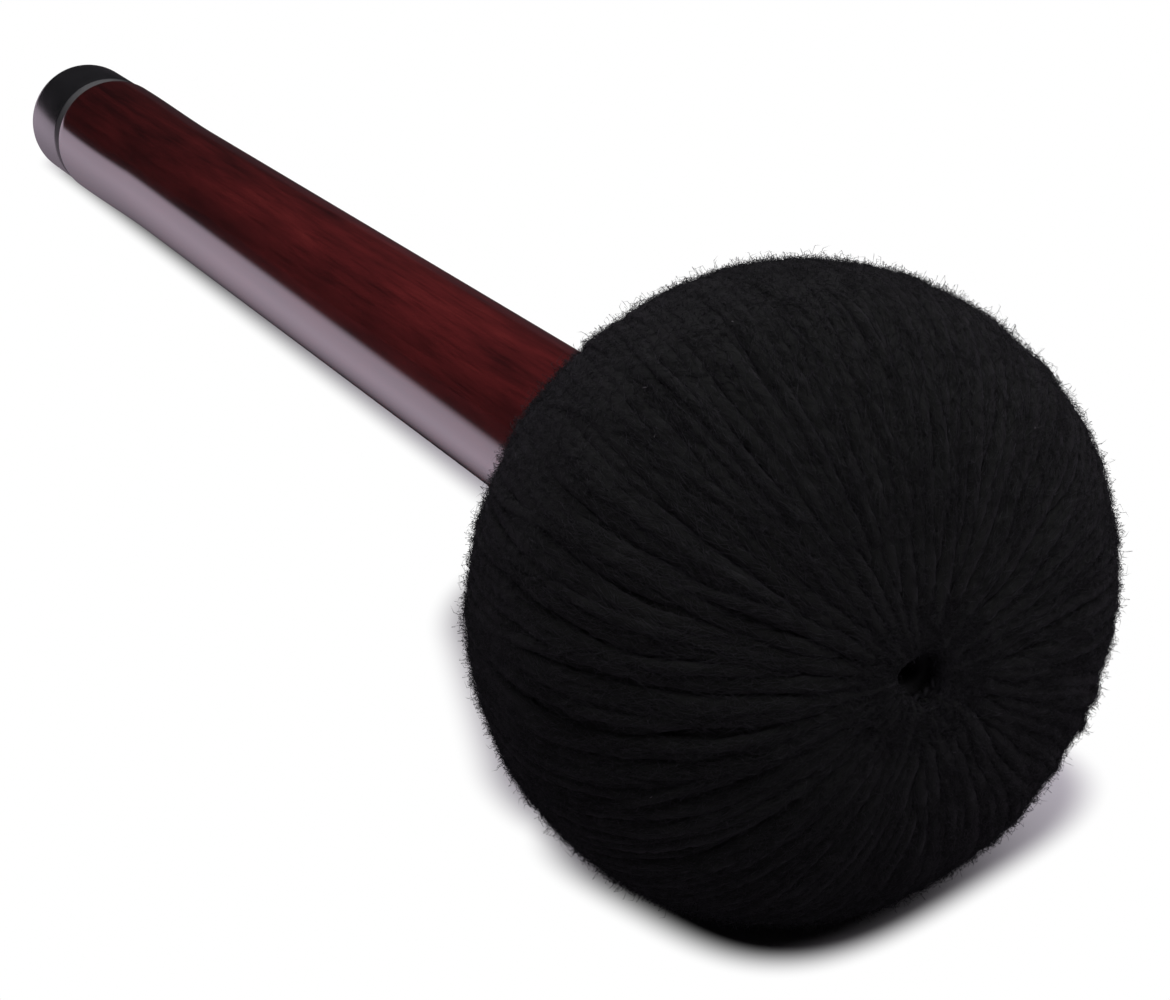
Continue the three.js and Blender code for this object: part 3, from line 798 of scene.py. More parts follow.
def fibre_paths(rng, s, angle, length, depth, curl):
    """Paths that start at places on the head, run over it in any direction and curl on the way. Depth holds
    the depth of each step."""
    heading, bend = rng.uniform(0, TURN, len(s)), rng.normal(0, curl, len(s))
    t = np.linspace(0, 1, depth.shape[1])
    turned_heading = heading[:, None] + bend[:, None] * (t - 0.5)
    step = (length / (len(t) - 1))[:, None] * (t > 0)
    way = np.clip(s[:, None] + np.cumsum(step * np.cos(turned_heading), 1), HEAD_LINE.s[0], HEAD_LINE.s[-1])
    r = np.maximum(np.interp(way, HEAD_LINE.s, HEAD_LINE.r), CROWN_HOLE_RADIUS)
    sideways = np.cumsum(step * np.sin(turned_heading), 1)
    return HEAD_LINE.place(way, angle[:, None] + sideways / r, depth)


def fuzz_piece(name, paths, out, radius, material):
    points, faces = fibre_mesh(paths, out, radius)
    piece = add_piece(name, pressed(in_frame(points)), faces, material, None, 0)
    return piece


def lying_fibres(rng, lay, count):
    """Fibres that lie along the strands, bridge the furrows between them and mat them together. Behind
    the widest place and round the crown they lie every way."""
    number, s, across = lay.scattered(rng, count)
    widest = HEAD_LINE.s[HEAD_LINE.equator]
    rear = smoothstep(s, widest - MATTED_BEFORE_WIDEST, widest)
    crown = 1 - smoothstep(s, *MATTED_CROWN)
    matted = np.maximum(rear, crown)
    heading = rng.normal(0, 0.45 + 0.6 * matted)[:, None]
    length = (rng.gamma(*LYING_LENGTH, count) * (1 - 0.6 * matted))[:, None]
    way = np.array([-0.5, 0.0, 0.5])
    bow = rng.normal(0, 0.06, count)[:, None] * length * (1 - 4 * way ** 2)
    middle_lift = rng.gamma(*LYING_LIFT, (count, 1))
    end_lift = rng.uniform(*LYING_END_LIFT, (count, 1))
    lift = np.where(way == 0, middle_lift, end_lift)
    along = s[:, None] + way * length * np.cos(heading) - bow * np.sin(heading)
    beside = across[:, None] + way * length * np.sin(heading) + bow * np.cos(heading)
    return lay.surface(number, along, beside, lift)


def standing_fibres(rng, lay, count):
    """Short fibres that stand out of the strands and curl over: the halo of fuzz."""
    number, s, across = lay.scattered(rng, count)
    heading = rng.uniform(0, TURN, count)[:, None]
    curl = heading + rng.normal(0, 0.9, count)[:, None]
    rise = rng.gamma(*STANDING_RISE, count)[:, None]
    reach = rng.gamma(*STANDING_REACH, count)[:, None]
    lift = rise * np.array([0.0, 0.85, 1.0]) - STANDING_ROOT
    lift[:, 2] *= rng.uniform(0.2, 1.15, count)
    along = s[:, None] + reach * np.concatenate([0 * heading, 0.45 * np.cos(heading), np.cos(curl)], 1)
    beside = across[:, None] + reach * np.concatenate([0 * heading, 0.45 * np.sin(heading), np.sin(curl)], 1)
    return lay.surface(number, along, beside, lift)


def yarn_fuzz(material):
    """Loose fibres: many lie along the strands and mat them together, some stand out and curl back."""
    rng = np.random.default_rng(SEED + 2)
    pieces = []
    for kind, make, radius in (
        ("lying", lying_fibres, LYING_RADIUS),
        ("standing", standing_fibres, STANDING_RADIUS),
    ):
        for number in range(FIBRE_PIECES):
            count = FIBRES_IN_PIECE * FIBRE_THIN
            made = [make(rng, lay, int(share * count)) for lay, share in FIBRE_SHARES]
            paths, out = (np.concatenate(part_of_all) for part_of_all in zip(*made))
            pieces.append(fuzz_piece(f"yarn_fuzz_{kind}_{number + 1}", paths, out, radius, material))
    count = int(CROWN_FIBRES * FIBRE_THIN)
    s, angle = scattered(rng, count, *CROWN_FIBRE_RING)
    depth = rng.uniform(-0.05, 0.25, (count, 1)) * MM + np.array([0.15, 0.0, 0.15]) * MM
    length = rng.gamma(*CROWN_FIBRE_LENGTH, count)
    paths, out = fibre_paths(rng, s, angle, length, depth, 1.4)
    pieces.append(fuzz_piece("yarn_fuzz_crown", paths, out, CROWN_FIBRE_RADIUS, material))
    s, angle = scattered(rng, LONG_FIBRES)
    rise = rng.uniform(*LONG_FIBRE_RISES, LONG_FIBRES)[:, None]
    depth = 0.2 * MM - rise * np.linspace(0, 1, 9) ** 1.5
    length = rng.uniform(*LONG_FIBRE_LENGTHS, LONG_FIBRES)
    paths, out = fibre_paths(rng, s, angle, length, depth, 2.0)
    pieces.append(fuzz_piece("yarn_fuzz_long", paths, out, LONG_FIBRE_RADIUS, material))
    return pieces


def lint(material):
    """Tiny pale specks of lint caught in the yarn."""
    rng = np.random.default_rng(SEED + 5)
    front = slice(0, HEAD_LINE.equator)
    s = np.interp([r for degrees, r in LINT], HEAD_LINE.r[front], HEAD_LINE.s[front])
    angle = np.radians([degrees for degrees, r in LINT])
    length = rng.uniform(0.5, 1.0, len(LINT)) * MM
    paths, out = fibre_paths(rng, s, angle, length, np.full((len(LINT), 4), -LINT_HEIGHT), 2.0)
    points, faces = fibre_mesh(paths, out, LINT_RADIUS)
    piece = add_piece("lint_specks", in_frame(points), faces, material, None, 0)
    return piece


# Rigid pieces
BOX_FACES = np.array([[0, 1, 2, 3], [7, 6, 5, 4], [0, 4, 5, 1], [1, 5, 6, 2], [2, 6, 7, 3], [3, 7, 4, 0]])


def kerf_corners():
    """Corners of the kerf that the wedge opens in the tenon, cut clear through its front and sides."""
    head_z = CORE_HALF_LENGTH - 2 * CLEARANCE
    tip_z = head_z - WEDGE_LENGTH - CLEARANCE
    top_z = head_z + CLEARANCE + TENON_CHAMFER
    tip_half = WEDGE_TIP_THICKNESS / 2 + CLEARANCE
    slope = (WEDGE_HEAD_THICKNESS - WEDGE_TIP_THICKNESS) / (2 * WEDGE_LENGTH)
    top_half = tip_half + slope * (top_z - tip_z)
    half_width = TENON_RADIUS + TENON_CHAMFER
    section = [(-tip_half, tip_z), (tip_half, tip_z), (top_half, top_z), (-top_half, top_z)]
    return np.array([(side, y, z) for side in (-half_width, half_width) for y, z in section])


def handle(material):
    """The turned handle, flared to its butt, with the spigot in the cap and the kerfed tenon in the core."""
    spigot = CAP_RADIUS - CAP_WALL - CLEARANCE
    spigot_z = BUTT_Z + CAP_END_THICKNESS + CLEARANCE
    end_z = CAP_FRONT_Z + CLEARANCE
    chamfer_z = end_z + SHOULDER_CHAMFER
    waist_z = end_z + FLARE_LENGTH
    shoulder_z = -CORE_HALF_LENGTH - CLEARANCE
    neck_z = -oval_height(UNDERLAY_RADIUS, UNDERLAY_HALF_LENGTH, NECK_BORE)
    tenon_z = CORE_HALF_LENGTH - CLEARANCE
    outline = [(0, spigot_z), (spigot, spigot_z), (spigot, end_z), (BUTT_RADIUS - SHOULDER_CHAMFER, end_z)]
    outline += arc(BUTT_RADIUS - SHOULDER_CHAMFER, chamfer_z, SHOULDER_CHAMFER, -QUARTER, 0, 5)[1:]
    for share in np.linspace(0, 1, 25)[1:]:
        ease = (1 + math.cos(math.pi * share)) / 2
        radius = WAIST_RADIUS + (BUTT_RADIUS - WAIST_RADIUS) * ease
        outline.append((radius, chamfer_z + (waist_z - chamfer_z) * share))
    taper = np.linspace((WAIST_RADIUS, waist_z), (NECK_RADIUS, neck_z), 31)[1:]
    outline += [tuple(place) for place in taper]
    outline += [
        (NECK_RADIUS, shoulder_z),
        (TENON_RADIUS, shoulder_z),
        (TENON_RADIUS, tenon_z - TENON_CHAMFER),
        (TENON_RADIUS - TENON_CHAMFER, tenon_z),
        (0, tenon_z),
    ]
    piece = turned_piece("handle_lacquered", outline, material)
    cutter = add_piece("kerf_cutter", in_frame(kerf_corners()), [BOX_FACES], material)
    cut = piece.modifiers.new("kerf", "BOOLEAN")
    cut.operation = "DIFFERENCE"
    cut.solver = "EXACT"
    cut.object = cutter
    depsgraph = bpy.context.evaluated_depsgraph_get()
    finished = bpy.data.meshes.new_from_object(piece.evaluated_get(depsgraph))
    piece.modifiers.clear()
    piece.data = finished
    finished.set_sharp_from_angle(angle=SHARP_ANGLE)
    bpy.data.objects.remove(cutter)
    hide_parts("handle")
    return piece


def end_cap(material):
    """The moulded cap, with a round corner at its end and an eased chamfer at its lip."""
    bore = CAP_RADIUS - CAP_WALL
    corner = CAP_RADIUS - CAP_CORNER_RADIUS
    lip_z = CAP_FRONT_Z - CAP_LIP_LENGTH
    lip_radius = CAP_RADIUS - CAP_LIP_CHAMFER
    ease = CAP_LIP_EASE
    outline = [(0, BUTT_Z)]
    outline += [(corner * share, BUTT_Z) for share in (0.5, 0.96)]
    outline += arc(corner, BUTT_Z + CAP_CORNER_RADIUS, CAP_CORNER_RADIUS, -QUARTER, 0, 16)
    outline += [
        (CAP_RADIUS, lip_z - 1.6 * ease),
        (CAP_RADIUS - 0.15 * ease, lip_z - 0.4 * ease),
        (CAP_RADIUS - 0.7 * ease, lip_z + 1.2 * ease),
        (lip_radius + 0.5 * ease, CAP_FRONT_Z - 1.4 * ease),
        (lip_radius + 0.1 * ease, CAP_FRONT_Z - 0.5 * ease),
        (lip_radius - 0.6 * ease, CAP_FRONT_Z),
        (bore, CAP_FRONT_Z),
        (bore, BUTT_Z + CAP_END_THICKNESS),
        (0, BUTT_Z + CAP_END_THICKNESS),
    ]
    piece = turned_piece("end_cap_rubber", outline, material)
    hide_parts("end_cap")
    return piece


def felt_noise(seed):
    """A soft unevenness for a felt face."""
    rng = np.random.default_rng(seed)
    ways = rng.normal(0, 1, (8, 3)) / (4 * MM)
    phases = rng.uniform(0, TURN, 8)

    def roughen(points):
        wave = np.sin(points @ ways.T + phases).sum(1) / 8
        radial = unit(points * [1, 1, 0])
        return points - radial * (np.abs(wave) * FELT_UNEVENNESS)[:, None]

    return roughen


def felts(material):
    """The felt wrapped round the core and the felt discs on its two faces."""
    inner = CORE_RADIUS + CLEARANCE
    outer = inner + FELT_THICKNESS
    near = CORE_HALF_LENGTH + CLEARANCE
    far = near + FELT_DISC_THICKNESS
    rim = outer - FELT_DISC_THICKNESS
    soft = FELT_ROUNDING
    wrap = [
        (inner, -CORE_HALF_LENGTH),
        *arc(outer - soft, -CORE_HALF_LENGTH + soft, soft, -QUARTER, 0, 5),
        *arc(outer - soft, CORE_HALF_LENGTH - soft, soft, 0, QUARTER, 5),
        (inner, CORE_HALF_LENGTH),
    ]
    front = [(0, near), *arc(rim, near, FELT_DISC_THICKNESS, 0, QUARTER), (0, far)]
    rear = [(NECK_BORE, -far), *arc(rim, -near, FELT_DISC_THICKNESS, -QUARTER, 0), (NECK_BORE, -near)]
    made = []
    for name, outline, node in (
        ("felt_wrap", wrap, "core_felt"),
        ("felt_front", front, "front_felt_disc"),
        ("felt_rear", rear, "rear_felt_disc"),
    ):
        piece = turned_piece(name, outline, material, 96, felt_noise(SEED + len(made)))
        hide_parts(node)
        made.append(piece)
    return made


# Materials

class Nodes:
    """A node tree, with its nodes made by short calls."""

    def __init__(self, tree):
        self.tree = tree

    def put(self, socket, value):
        """Links a socket to an output, or sets it to a value."""
        if isinstance(value, bpy.types.NodeSocket):
            self.tree.links.new(value, socket)
        else:
            socket.default_value = value

    def node(self, kind, inputs=None, **settings):
        made = self.tree.nodes.new(kind)
        for name, value in settings.items():
            setattr(made, name, value)
        for name, value in (inputs or {}).items():
            self.put(made.inputs[name], value)
        return made

    def math(self, operation, first, second=0.0):
        return self.node("ShaderNodeMath", {0: first, 1: second}, operation=operation).outputs[0]

    def vector(self, operation, first, second, output=0):
        return self.node("ShaderNodeVectorMath", {0: first, 1: second}, operation=operation).outputs[output]

    def total(self, *terms):
        """The sum of values, each given with its weight."""
        first, *others = [self.math("MULTIPLY", value, weight) for value, weight in terms]
        for other in others:
            first = self.math("ADD", first, other)
        return first

    def mix(self, share, first, second, blend="MIX"):
        inputs = {0: share, 6: first, 7: second}
        return self.node("ShaderNodeMix", inputs, data_type="RGBA", blend_type=blend).outputs[2]

    def blend(self, share, first, second):
        return self.node("ShaderNodeMix", {0: share, 2: first, 3: second}).outputs[0]

    def axis(self, vector, name):
        return self.node("ShaderNodeSeparateXYZ", {"Vector": vector}).outputs[name]

    def eased(self, value, low, high, start=0.0, end=1.0):
        """Goes smoothly from start to end as the value goes from low to high."""
        return self.node("ShaderNodeMapRange", {
            "Value": value, "From Min": low, "From Max": high, "To Min": start, "To Max": end,
        }, interpolation_type="SMOOTHSTEP").outputs["Result"]


class Shader(Nodes):
    """A Principled material."""

    def __init__(self, name):
        self.material = bpy.data.materials.new(name)
        self.material.use_nodes = True
        super().__init__(self.material.node_tree)
        self.surface = self.tree.nodes["Principled BSDF"]

    def set(self, **values):
        for name, value in values.items():
            self.surface.inputs[name.replace("_", " ")].default_value = value

    def link(self, output, name):
        self.tree.links.new(output, self.surface.inputs[name])

    def place(self, stretch=None):
        """Object coordinates, or with a stretch those along the mallet, with patterns drawn out along it."""
        where = self.node("ShaderNodeTexCoord").outputs["Object"]
        if stretch is None:
            return where
        return self.node("ShaderNodeMapping", {
            "Vector": where, "Rotation": (0, -TILT, 0), "Scale": (stretch, 1, 1),
        }, vector_type="TEXTURE").outputs["Vector"]

    def noise(self, where, size, detail=3.0, roughness=0.55, distortion=0.0):
        return self.node("ShaderNodeTexNoise", {
            "Vector": where, "Scale": 1 / size, "Detail": detail, "Roughness": roughness,
            "Distortion": distortion,
        }).outputs["Fac"]

    def ramp(self, value, *stops):
        """A colour or grey ramp from (position, colour) stops."""
        made = self.node("ShaderNodeValToRGB", {"Fac": value})
        band = made.color_ramp
        while len(band.elements) < len(stops):
            band.elements.new(0.5)
        for element, (position, colour) in zip(band.elements, stops):
            element.position = position
            element.color = (*colour, 1)
        return made.outputs["Color"]

    def bump(self, height, depth, strength=1.0):
        made = self.node("ShaderNodeBump", {"Height": height, "Distance": depth, "Strength": strength})
        self.link(made.outputs["Normal"], "Normal")


def grey(value):
    return (value, value, value)


# Where the lacquer is darker towards the butt: how far along, and how dark
BUTTWARD_DARKENING_ENDS = (BUTT_CENTRE[0] + 20 * MM, BUTT_CENTRE[0] + 190 * MM)
BUTTWARD_DARKENING_SHARE = 0.58

# How dull the cap's lip is, and over what length that begins
LIP_DULLNESS = 0.42
LIP_BLEND = 0.4 * MM

# Streaks in the yarn are drawn out along the strand: how slowly they change there, against round it
STREAK_PACE = 0.16

# The palest tone of the yarn, as a multiple of its light one, reached mostly on the paler painted flanks
PALEST_SHARE = 1.5


def lacquered_wood():
    """Dark red-brown lacquer, clear and glossy, over straight streaky grain."""
    shader = Shader("lacquered_wood")
    streaks = shader.noise(shader.place(16), 2.2 * MM, detail=5, roughness=0.55, distortion=0.3)
    broad = shader.noise(shader.place(4), 8 * MM, detail=3, roughness=0.5)
    pores = shader.noise(shader.place(25), 0.5 * MM, detail=2)
    wood = shader.ramp(
        shader.total((streaks, 0.55), (broad, 0.45)),
        (0.34, (0.030, 0.0042, 0.0048)),
        (0.46, (0.058, 0.0068, 0.0074)),
        (0.58, (0.082, 0.0092, 0.0098)),
        (0.70, (0.112, 0.0140, 0.0135)),
    )
    wood = shader.mix(1.0, wood, shader.ramp(pores, (0.34, grey(0.72)), (0.48, grey(1.0))), "MULTIPLY")
    # The lacquer darkens towards the butt over the given length
    buttward_darkening = shader.eased(shader.axis(shader.place(), "X"), *BUTTWARD_DARKENING_ENDS, BUTTWARD_DARKENING_SHARE)
    shader.link(shader.mix(1.0, wood, buttward_darkening, "MULTIPLY"), "Base Color")
    shader.set(Roughness=0.5, Specular_IOR_Level=0.0, Coat_Weight=1.0, Coat_Roughness=0.11, Coat_IOR=2.15)
    shader.bump(broad, 0.04 * MM, 0.3)
    return shader.material


def black_rubber():
    """Smooth moulded black rubber with a faint bloom, and dull on the lip that hands and sleeves rub."""
    shader = Shader("cap_rubber")
    where = shader.place()
    cloud = shader.noise(where, 7 * MM, detail=4)
    fine = shader.noise(where, 0.35 * MM, detail=3, roughness=0.65)
    colour = shader.ramp(cloud, (0.3, (0.0080, 0.0078, 0.0088)), (0.7, (0.014, 0.0135, 0.0150)))
    shader.link(colour, "Base Color")
    lip = HEAD_CENTRE @ CROWNWARD + CAP_FRONT_Z - CAP_LIP_LENGTH
    along = shader.axis(shader.place(1), "X")
    dull = shader.eased(along, lip - LIP_BLEND, lip + LIP_BLEND, 0.0, LIP_DULLNESS)
    gloss = shader.ramp(fine, (0.3, grey(0.16)), (0.7, grey(0.24)))
    shader.link(shader.math("ADD", gloss, dull), "Roughness")
    shader.set(IOR=1.95)
    shader.bump(fine, 0.02 * MM, 0.3)
    return shader.material


def yarn(name, dark, light, sheen):
    """Matte wool yarn: fine fibres that twist along the strand, uneven tone and a soft bloom of fuzz."""
    shader = Shader(name)
    strand = shader.node("ShaderNodeUVMap", uv_map="strand").outputs["UV"]
    along, round_it = shader.axis(strand, "X"), shader.axis(strand, "Y")
    twist = shader.math("SUBTRACT", round_it, shader.math("MULTIPLY", along, 1 / YARN_LAY))
    turn = shader.math("MULTIPLY", twist, TURN)
    round_strand = shader.node("ShaderNodeCombineXYZ", {
        "X": shader.math("MULTIPLY", shader.math("COSINE", turn), STRAND_HALF_DEPTH),
        "Y": shader.math("MULTIPLY", shader.math("SINE", turn), STRAND_HALF_DEPTH),
        "Z": shader.math("MULTIPLY", along, STREAK_PACE),
    }).outputs["Vector"]
    streaks = shader.noise(round_strand, 0.26 * MM, detail=3, roughness=0.6)
    where = shader.place()
    matted = shader.noise(where, 0.40 * MM, detail=4, roughness=0.7, distortion=0.8)
    clouds = shader.noise(where, 3.4 * MM, detail=3)
    height = shader.total((streaks, 0.6), (matted, 0.5))

    # The flanks of a strand are painted a little paler than its outer side: painted light that lifts the
    # shade of the furrows
    outward = shader.math("SINE", shader.math("MULTIPLY", round_it, TURN))
    painted_flank_light = shader.math("SUBTRACT", 1.0, shader.math("MAXIMUM", outward, 0.0))
    tone = shader.total((height, 0.6), (clouds, 0.40), (painted_flank_light, 0.26))
    palest = tuple(PALEST_SHARE * value for value in light)
    shader.link(shader.ramp(tone, (0.40, dark), (0.66, light), (0.92, palest)), "Base Color")
    shader.set(Roughness=1.0, Specular_IOR_Level=0.0)
    shader.set(Sheen_Weight=sheen, Sheen_Roughness=0.6, Sheen_Tint=(0.92, 0.80, 1.0, 1))
    shader.bump(height, 0.15 * MM, 1.0)
    return shader.material


def mottled(name, size, dark, light, detail=3.0, bump=None, **values):
    """A material that goes between two colours, each given with its place in a fine noise."""
    shader = Shader(name)
    fine = shader.noise(shader.place(), size, detail)
    shader.link(shader.ramp(fine, dark, light), "Base Color")
    shader.set(**values)
    if bump:
        shader.bump(fine, *bump)
    return shader.material


def fibre():
    """Single loose fibres of the yarn, a little lighter than the mass of it."""
    return mottled(
        "fibre", 1.1 * MM, (0.34, (0.0078, 0.0083, 0.0078)), (0.66, (0.0130, 0.0136, 0.0131)), detail=2,
        Roughness=1.0, Specular_IOR_Level=0.0,
        Sheen_Weight=0.048, Sheen_Roughness=0.6, Sheen_Tint=(0.88, 0.78, 1.0, 1),
    )


def pale_lint():
    """Pale cotton lint."""
    return mottled(
        "pale_lint", 0.3 * MM, (0.3, (0.07, 0.066, 0.07)), (0.7, (0.20, 0.19, 0.20)),
        Roughness=0.9, Specular_IOR_Level=0.1,
    )


def thread():
    """Waxed black thread."""
    return mottled(
        "waxed_thread", 0.2 * MM, (0.3, (0.005, 0.005, 0.006)), (0.7, (0.011, 0.010, 0.012)),
        bump=(0.05 * MM, 0.6), Roughness=0.8, Specular_IOR_Level=0.1,
    )


def felt():
    """Dense grey wool felt with matted fibres."""
    shader = Shader("felt")
    where = shader.place()
    fine = shader.noise(where, 0.5 * MM, detail=5, roughness=0.7, distortion=1.2)
    tone = shader.total((fine, 0.7), (shader.noise(where, 6 * MM), 0.3))
    shader.link(shader.ramp(tone, (0.35, (0.10, 0.097, 0.094)), (0.65, (0.22, 0.215, 0.205))), "Base Color")
    shader.set(Roughness=1.0, Sheen_Weight=0.4)
    shader.bump(fine, 0.25 * MM, 0.9)
    return shader.material


def bare_wood():
    """Bare turned hardwood with pores and growth rings."""
    shader = Shader("bare_wood")
    streaks = shader.noise(shader.place(16), 1.2 * MM, detail=6, roughness=0.6, distortion=0.3)
    rings = shader.noise(shader.place(10), 6 * MM, detail=2, distortion=1.0)
    shader.link(shader.ramp(
        shader.total((streaks, 0.55), (rings, 0.45)),
        (0.35, (0.25, 0.145, 0.065)), (0.5, (0.42, 0.28, 0.14)), (0.66, (0.55, 0.38, 0.21)),
    ), "Base Color")
    shader.set(Roughness=0.6)
    shader.bump(streaks, 0.08 * MM, 0.6)
    return shader.material


# Camera, fitted to the photograph: where the head's middle lies in it, how far away and from where
PHOTO_WIDTH, PHOTO_HEIGHT = 1170, 1000
HEAD_PIXEL = (795.5, 593.7)
FOCAL_PIXELS = 3340.5
CAMERA_DISTANCE = 500 * MM
CAMERA_AZIMUTH = math.radians(63.75)
CAMERA_ELEVATION = math.radians(26.85)
SENSOR_WIDTH = 36.0


def add_object(name, data, place, way):
    """An object at a place, that looks along a way."""
    made = bpy.data.objects.new(name, data)
    made.location = place
    made.rotation_euler = Vector(way).to_track_quat("-Z", "Y").to_euler()
    bpy.context.scene.collection.objects.link(made)
    return made


def camera():
    level = math.cos(CAMERA_ELEVATION)
    ahead = np.array([
        -math.sin(CAMERA_AZIMUTH) * level,
        math.cos(CAMERA_AZIMUTH) * level,
        -math.sin(CAMERA_ELEVATION),
    ])
    right = np.array([math.cos(CAMERA_AZIMUTH), math.sin(CAMERA_AZIMUTH), 0.0])
    down = np.cross(ahead, right)
    across = (HEAD_PIXEL[0] - PHOTO_WIDTH / 2) / FOCAL_PIXELS
    below = (HEAD_PIXEL[1] - PHOTO_HEIGHT / 2) / FOCAL_PIXELS
    to_head = unit(across * right + below * down + ahead)
    data = bpy.data.cameras.new("camera")
    data.sensor_width = SENSOR_WIDTH
    data.lens = FOCAL_PIXELS / PHOTO_WIDTH * SENSOR_WIDTH
    data.clip_start = 10 * MM
    bpy.context.scene.camera = add_object("camera", data, HEAD_CENTRE - CAMERA_DISTANCE * to_head, ahead)


# The floor and the mallet's shadow on it, as places on the floor, and how far a shadow reaches from them
FLOOR_SIDE = 12.0
FLOOR_COLOUR = (0.47, 0.445, 0.485, 1)
# The colour of the painted reflection: a pale sheet on the floor that glows for gloss alone
PAINTED_REFLECTION_COLOUR = (1.0, 0.83, 1.0, 1)
WHITE = (1.0, 1.0, 1.0, 1)
HEAD_SHADOW = (HEAD_CENTRE[0] - 14 * MM, 14 * MM)
HEAD_SHADOW_HALF_SIZE = (29 * MM, 38 * MM)
HEAD_SHADOW_TURN = math.radians(18)
HEAD_SHADOW_FULLNESS = 3.5
HEAD_SHADOW_REACH = (1.0, 1.23)
NECK_SHADOW_START = (HEAD_CENTRE[0] - 81 * MM, 17 * MM)
NECK_SHADOW_END = (HEAD_CENTRE[0] - 39 * MM, 4.5 * MM)
NECK_SHADOW_REACH = (30 * MM, 39.5 * MM)
HANDLE_SHADOW_START = (BUTT_CENTRE[0] - 2 * MM, 3.5 * MM)
HANDLE_SHADOW_END = (100 * MM, 30 * MM)
HANDLE_SHADOW_REACH = (6 * MM, 14 * MM)

# Painted reflection for gloss: where a pale sheet begins across the floor, where it fades to painted shade
# under the handle, what is left there, and its share
PAINTED_REFLECTION_EDGE = (-115 * MM, -68 * MM)
PAINTED_SHADE_UNDER_HANDLE = (-36 * MM, 4 * MM)
PAINTED_SHADE_SHARE = 0.012
PAINTED_REFLECTION_SHARE = 0.97

# Light from overhead: it grows between two heights on the sky, given as sines
SKY_EDGE = (math.sin(math.radians(43)), math.sin(math.radians(67)))
SKY_TOP = 3.0
SKY_LOW = 0.01
SKY_COLOUR = (0.98, 0.96, 1.0, 1)
KEY_PLACE = (0.75, 0.55, 1.15)
KEY_SIZE = 0.9
KEY_POWER = 6.0


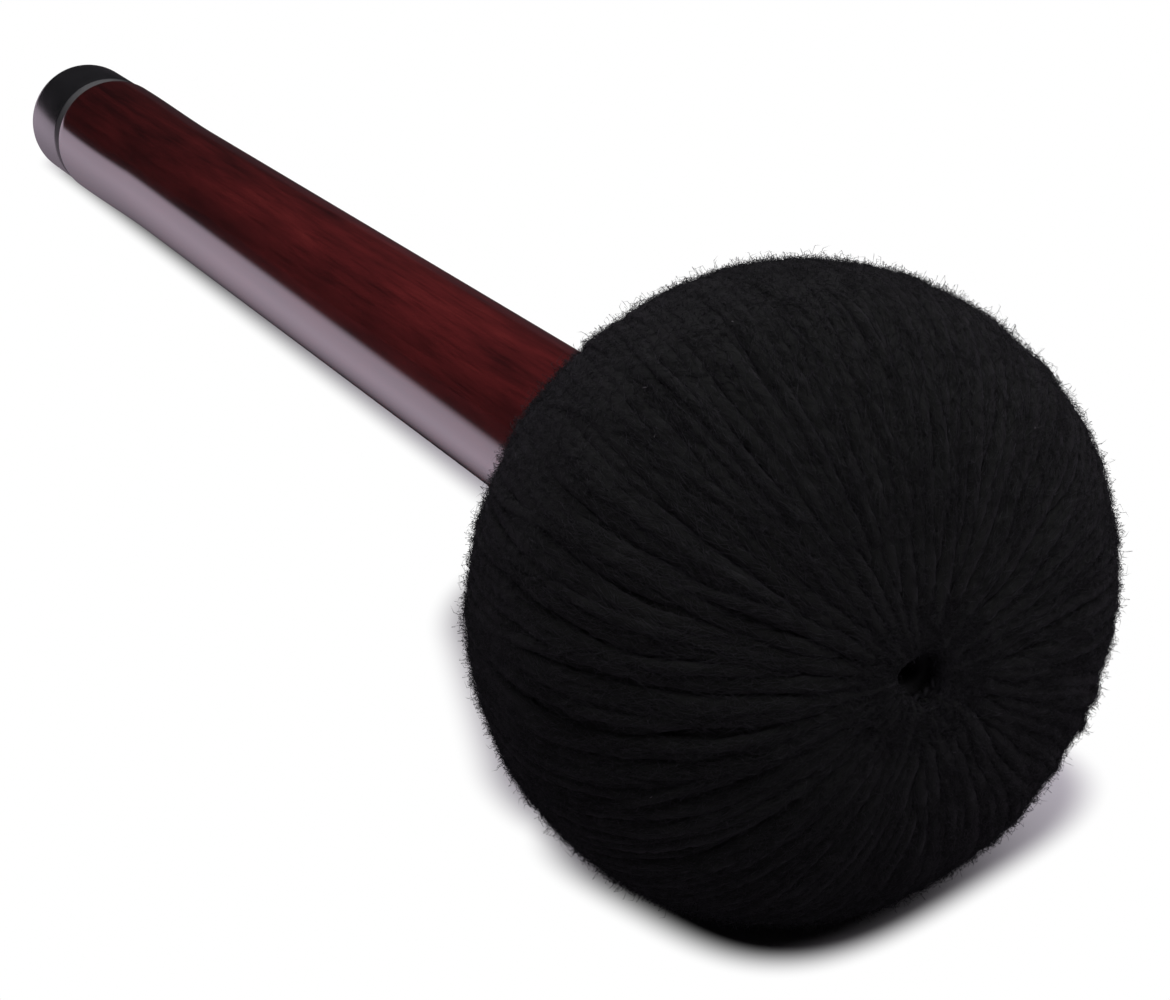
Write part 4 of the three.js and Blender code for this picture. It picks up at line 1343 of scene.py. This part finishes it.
def floor():
    """A pale matte floor that the camera sees as white, with the mallet's shadow still on it. Gloss sees a
    painted reflection there instead: a glowing pale sheet in front of the mallet, faded to painted shade
    under and behind the handle.
    """
    shader = Shader("floor")
    where = shader.place()
    path = shader.node("ShaderNodeLightPath").outputs

    def away_from(start, end):
        """How far a place on the floor is from the line between two others."""
        line = (end[0] - start[0], end[1] - start[1], 0)
        squared = line[0] ** 2 + line[1] ** 2
        offset = shader.vector("SUBTRACT", where, (*start, 0))
        along = shader.vector("DOT_PRODUCT", offset, line, "Value")
        share = shader.node("ShaderNodeMath", {0: along, 1: squared}, operation="DIVIDE", use_clamp=True)
        nearest = shader.vector("MULTIPLY", share.outputs[0], line)
        return shader.vector("DISTANCE", offset, nearest, "Value")

    def out_of_head_shadow():
        """How far out of the head's rounded shadow a place on the floor is, as a share of its half size."""
        turned_axes = shader.node("ShaderNodeMapping", {
            "Vector": where,
            "Location": (*HEAD_SHADOW, 0),
            "Rotation": (0, 0, HEAD_SHADOW_TURN),
            "Scale": (*HEAD_SHADOW_HALF_SIZE, 1),
        }, vector_type="TEXTURE").outputs["Vector"]
        shares = [shader.math("ABSOLUTE", shader.axis(turned_axes, name)) for name in "XY"]
        powers = [shader.math("POWER", share, HEAD_SHADOW_FULLNESS) for share in shares]
        return shader.math("POWER", shader.math("ADD", *powers), 1 / HEAD_SHADOW_FULLNESS)

    def blended(share, first, second):
        return shader.node("ShaderNodeMixShader", {0: share, 1: first, 2: second}).outputs[0]

    white_share = shader.eased(out_of_head_shadow(), *HEAD_SHADOW_REACH)
    for start, end, reach in (
        (NECK_SHADOW_START, NECK_SHADOW_END, NECK_SHADOW_REACH),
        (HANDLE_SHADOW_START, HANDLE_SHADOW_END, HANDLE_SHADOW_REACH),
    ):
        white_share = shader.math("MULTIPLY", white_share, shader.eased(away_from(start, end), *reach))
    across = shader.axis(where, "Y")
    # Painted reflection: where gloss sees the floor as pale, and painted shade where that fades under and
    # behind the handle
    painted_reflection_band = shader.eased(across, *PAINTED_REFLECTION_EDGE)
    beside = shader.eased(across, *PAINTED_SHADE_UNDER_HANDLE, 1.0, PAINTED_SHADE_SHARE)
    matt = shader.node("ShaderNodeBsdfDiffuse", {"Color": FLOOR_COLOUR}).outputs[0]
    white = shader.node("ShaderNodeEmission", {"Color": WHITE, "Strength": 1.0}).outputs[0]
    # Painted reflection: a pale sheet on the floor that glows for glossy rays only
    painted_reflection_sheet = shader.node("ShaderNodeEmission", {
        "Color": PAINTED_REFLECTION_COLOUR, "Strength": shader.math("MULTIPLY", painted_reflection_band, beside),
    }).outputs[0]
    seen = blended(shader.math("MULTIPLY", path["Is Camera Ray"], white_share), matt, white)
    seen = blended(shader.math("MULTIPLY", path["Is Glossy Ray"], PAINTED_REFLECTION_SHARE), seen, painted_reflection_sheet)
    shader.put(shader.tree.nodes["Material Output"].inputs["Surface"], seen)
    half = FLOOR_SIDE / 2
    corners = [(-half, -half, 0), (half, -half, 0), (half, half, 0), (-half, half, 0)]
    piece = add_piece("floor", corners, [np.array([[0, 1, 2, 3]])], shader.material)


def sky():
    """Soft light from overhead, as from a large diffuser, with dim surroundings low down. Gloss shows the
    diffuser as plain white, and the camera sees white all round."""
    world = bpy.data.worlds.new("studio")
    bpy.context.scene.world = world
    world.use_nodes = True
    nodes = Nodes(world.node_tree)
    way = nodes.node("ShaderNodeTexCoord").outputs["Generated"]
    path = nodes.node("ShaderNodeLightPath").outputs
    light = nodes.eased(nodes.axis(way, "Z"), *SKY_EDGE, SKY_LOW, SKY_TOP)
    light = nodes.blend(path["Is Glossy Ray"], light, nodes.math("MINIMUM", light, 1.0))
    background = world.node_tree.nodes["Background"].inputs
    nodes.put(background["Strength"], nodes.blend(path["Is Camera Ray"], light, 1.0))
    nodes.put(background["Color"], nodes.mix(path["Is Camera Ray"], SKY_COLOUR, WHITE))


def soft_key():
    """A large soft lamp high on the head's side."""
    data = bpy.data.lights.new("soft_key", "AREA")
    data.shape = "DISK"
    data.size = KEY_SIZE
    data.energy = KEY_POWER
    add_object("soft_key", data, KEY_PLACE, HEAD_CENTRE - KEY_PLACE)


camera()
floor()
sky()
soft_key()

black_yarn = yarn("black_yarn", dark=(0.0068, 0.0073, 0.0067), light=(0.0104, 0.0110, 0.0104), sheen=0.036)
grey_yarn = yarn("padding_yarn", dark=(0.0070, 0.0068, 0.0074), light=(0.0125, 0.0122, 0.0130), sheen=0.0)
pieces = [
    *yarn_winding(black_yarn),
    *yarn_fuzz(fibre()),
    lint(pale_lint()),
    padding_yarn(grey_yarn),
    neck_yarn(black_yarn),
    crown_thread(thread()),
    handle(lacquered_wood()),
    end_cap(black_rubber()),
    *felts(felt()),
]
for piece in pieces:
    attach(piece, "root")

wood = bare_wood()
for node in ("head_core", "tenon_wedge"):
    frame["nodes"][node].data.materials.clear()
    frame["nodes"][node].data.materials.append(wood)

bpy.context.scene.view_settings.view_transform = "Standard"
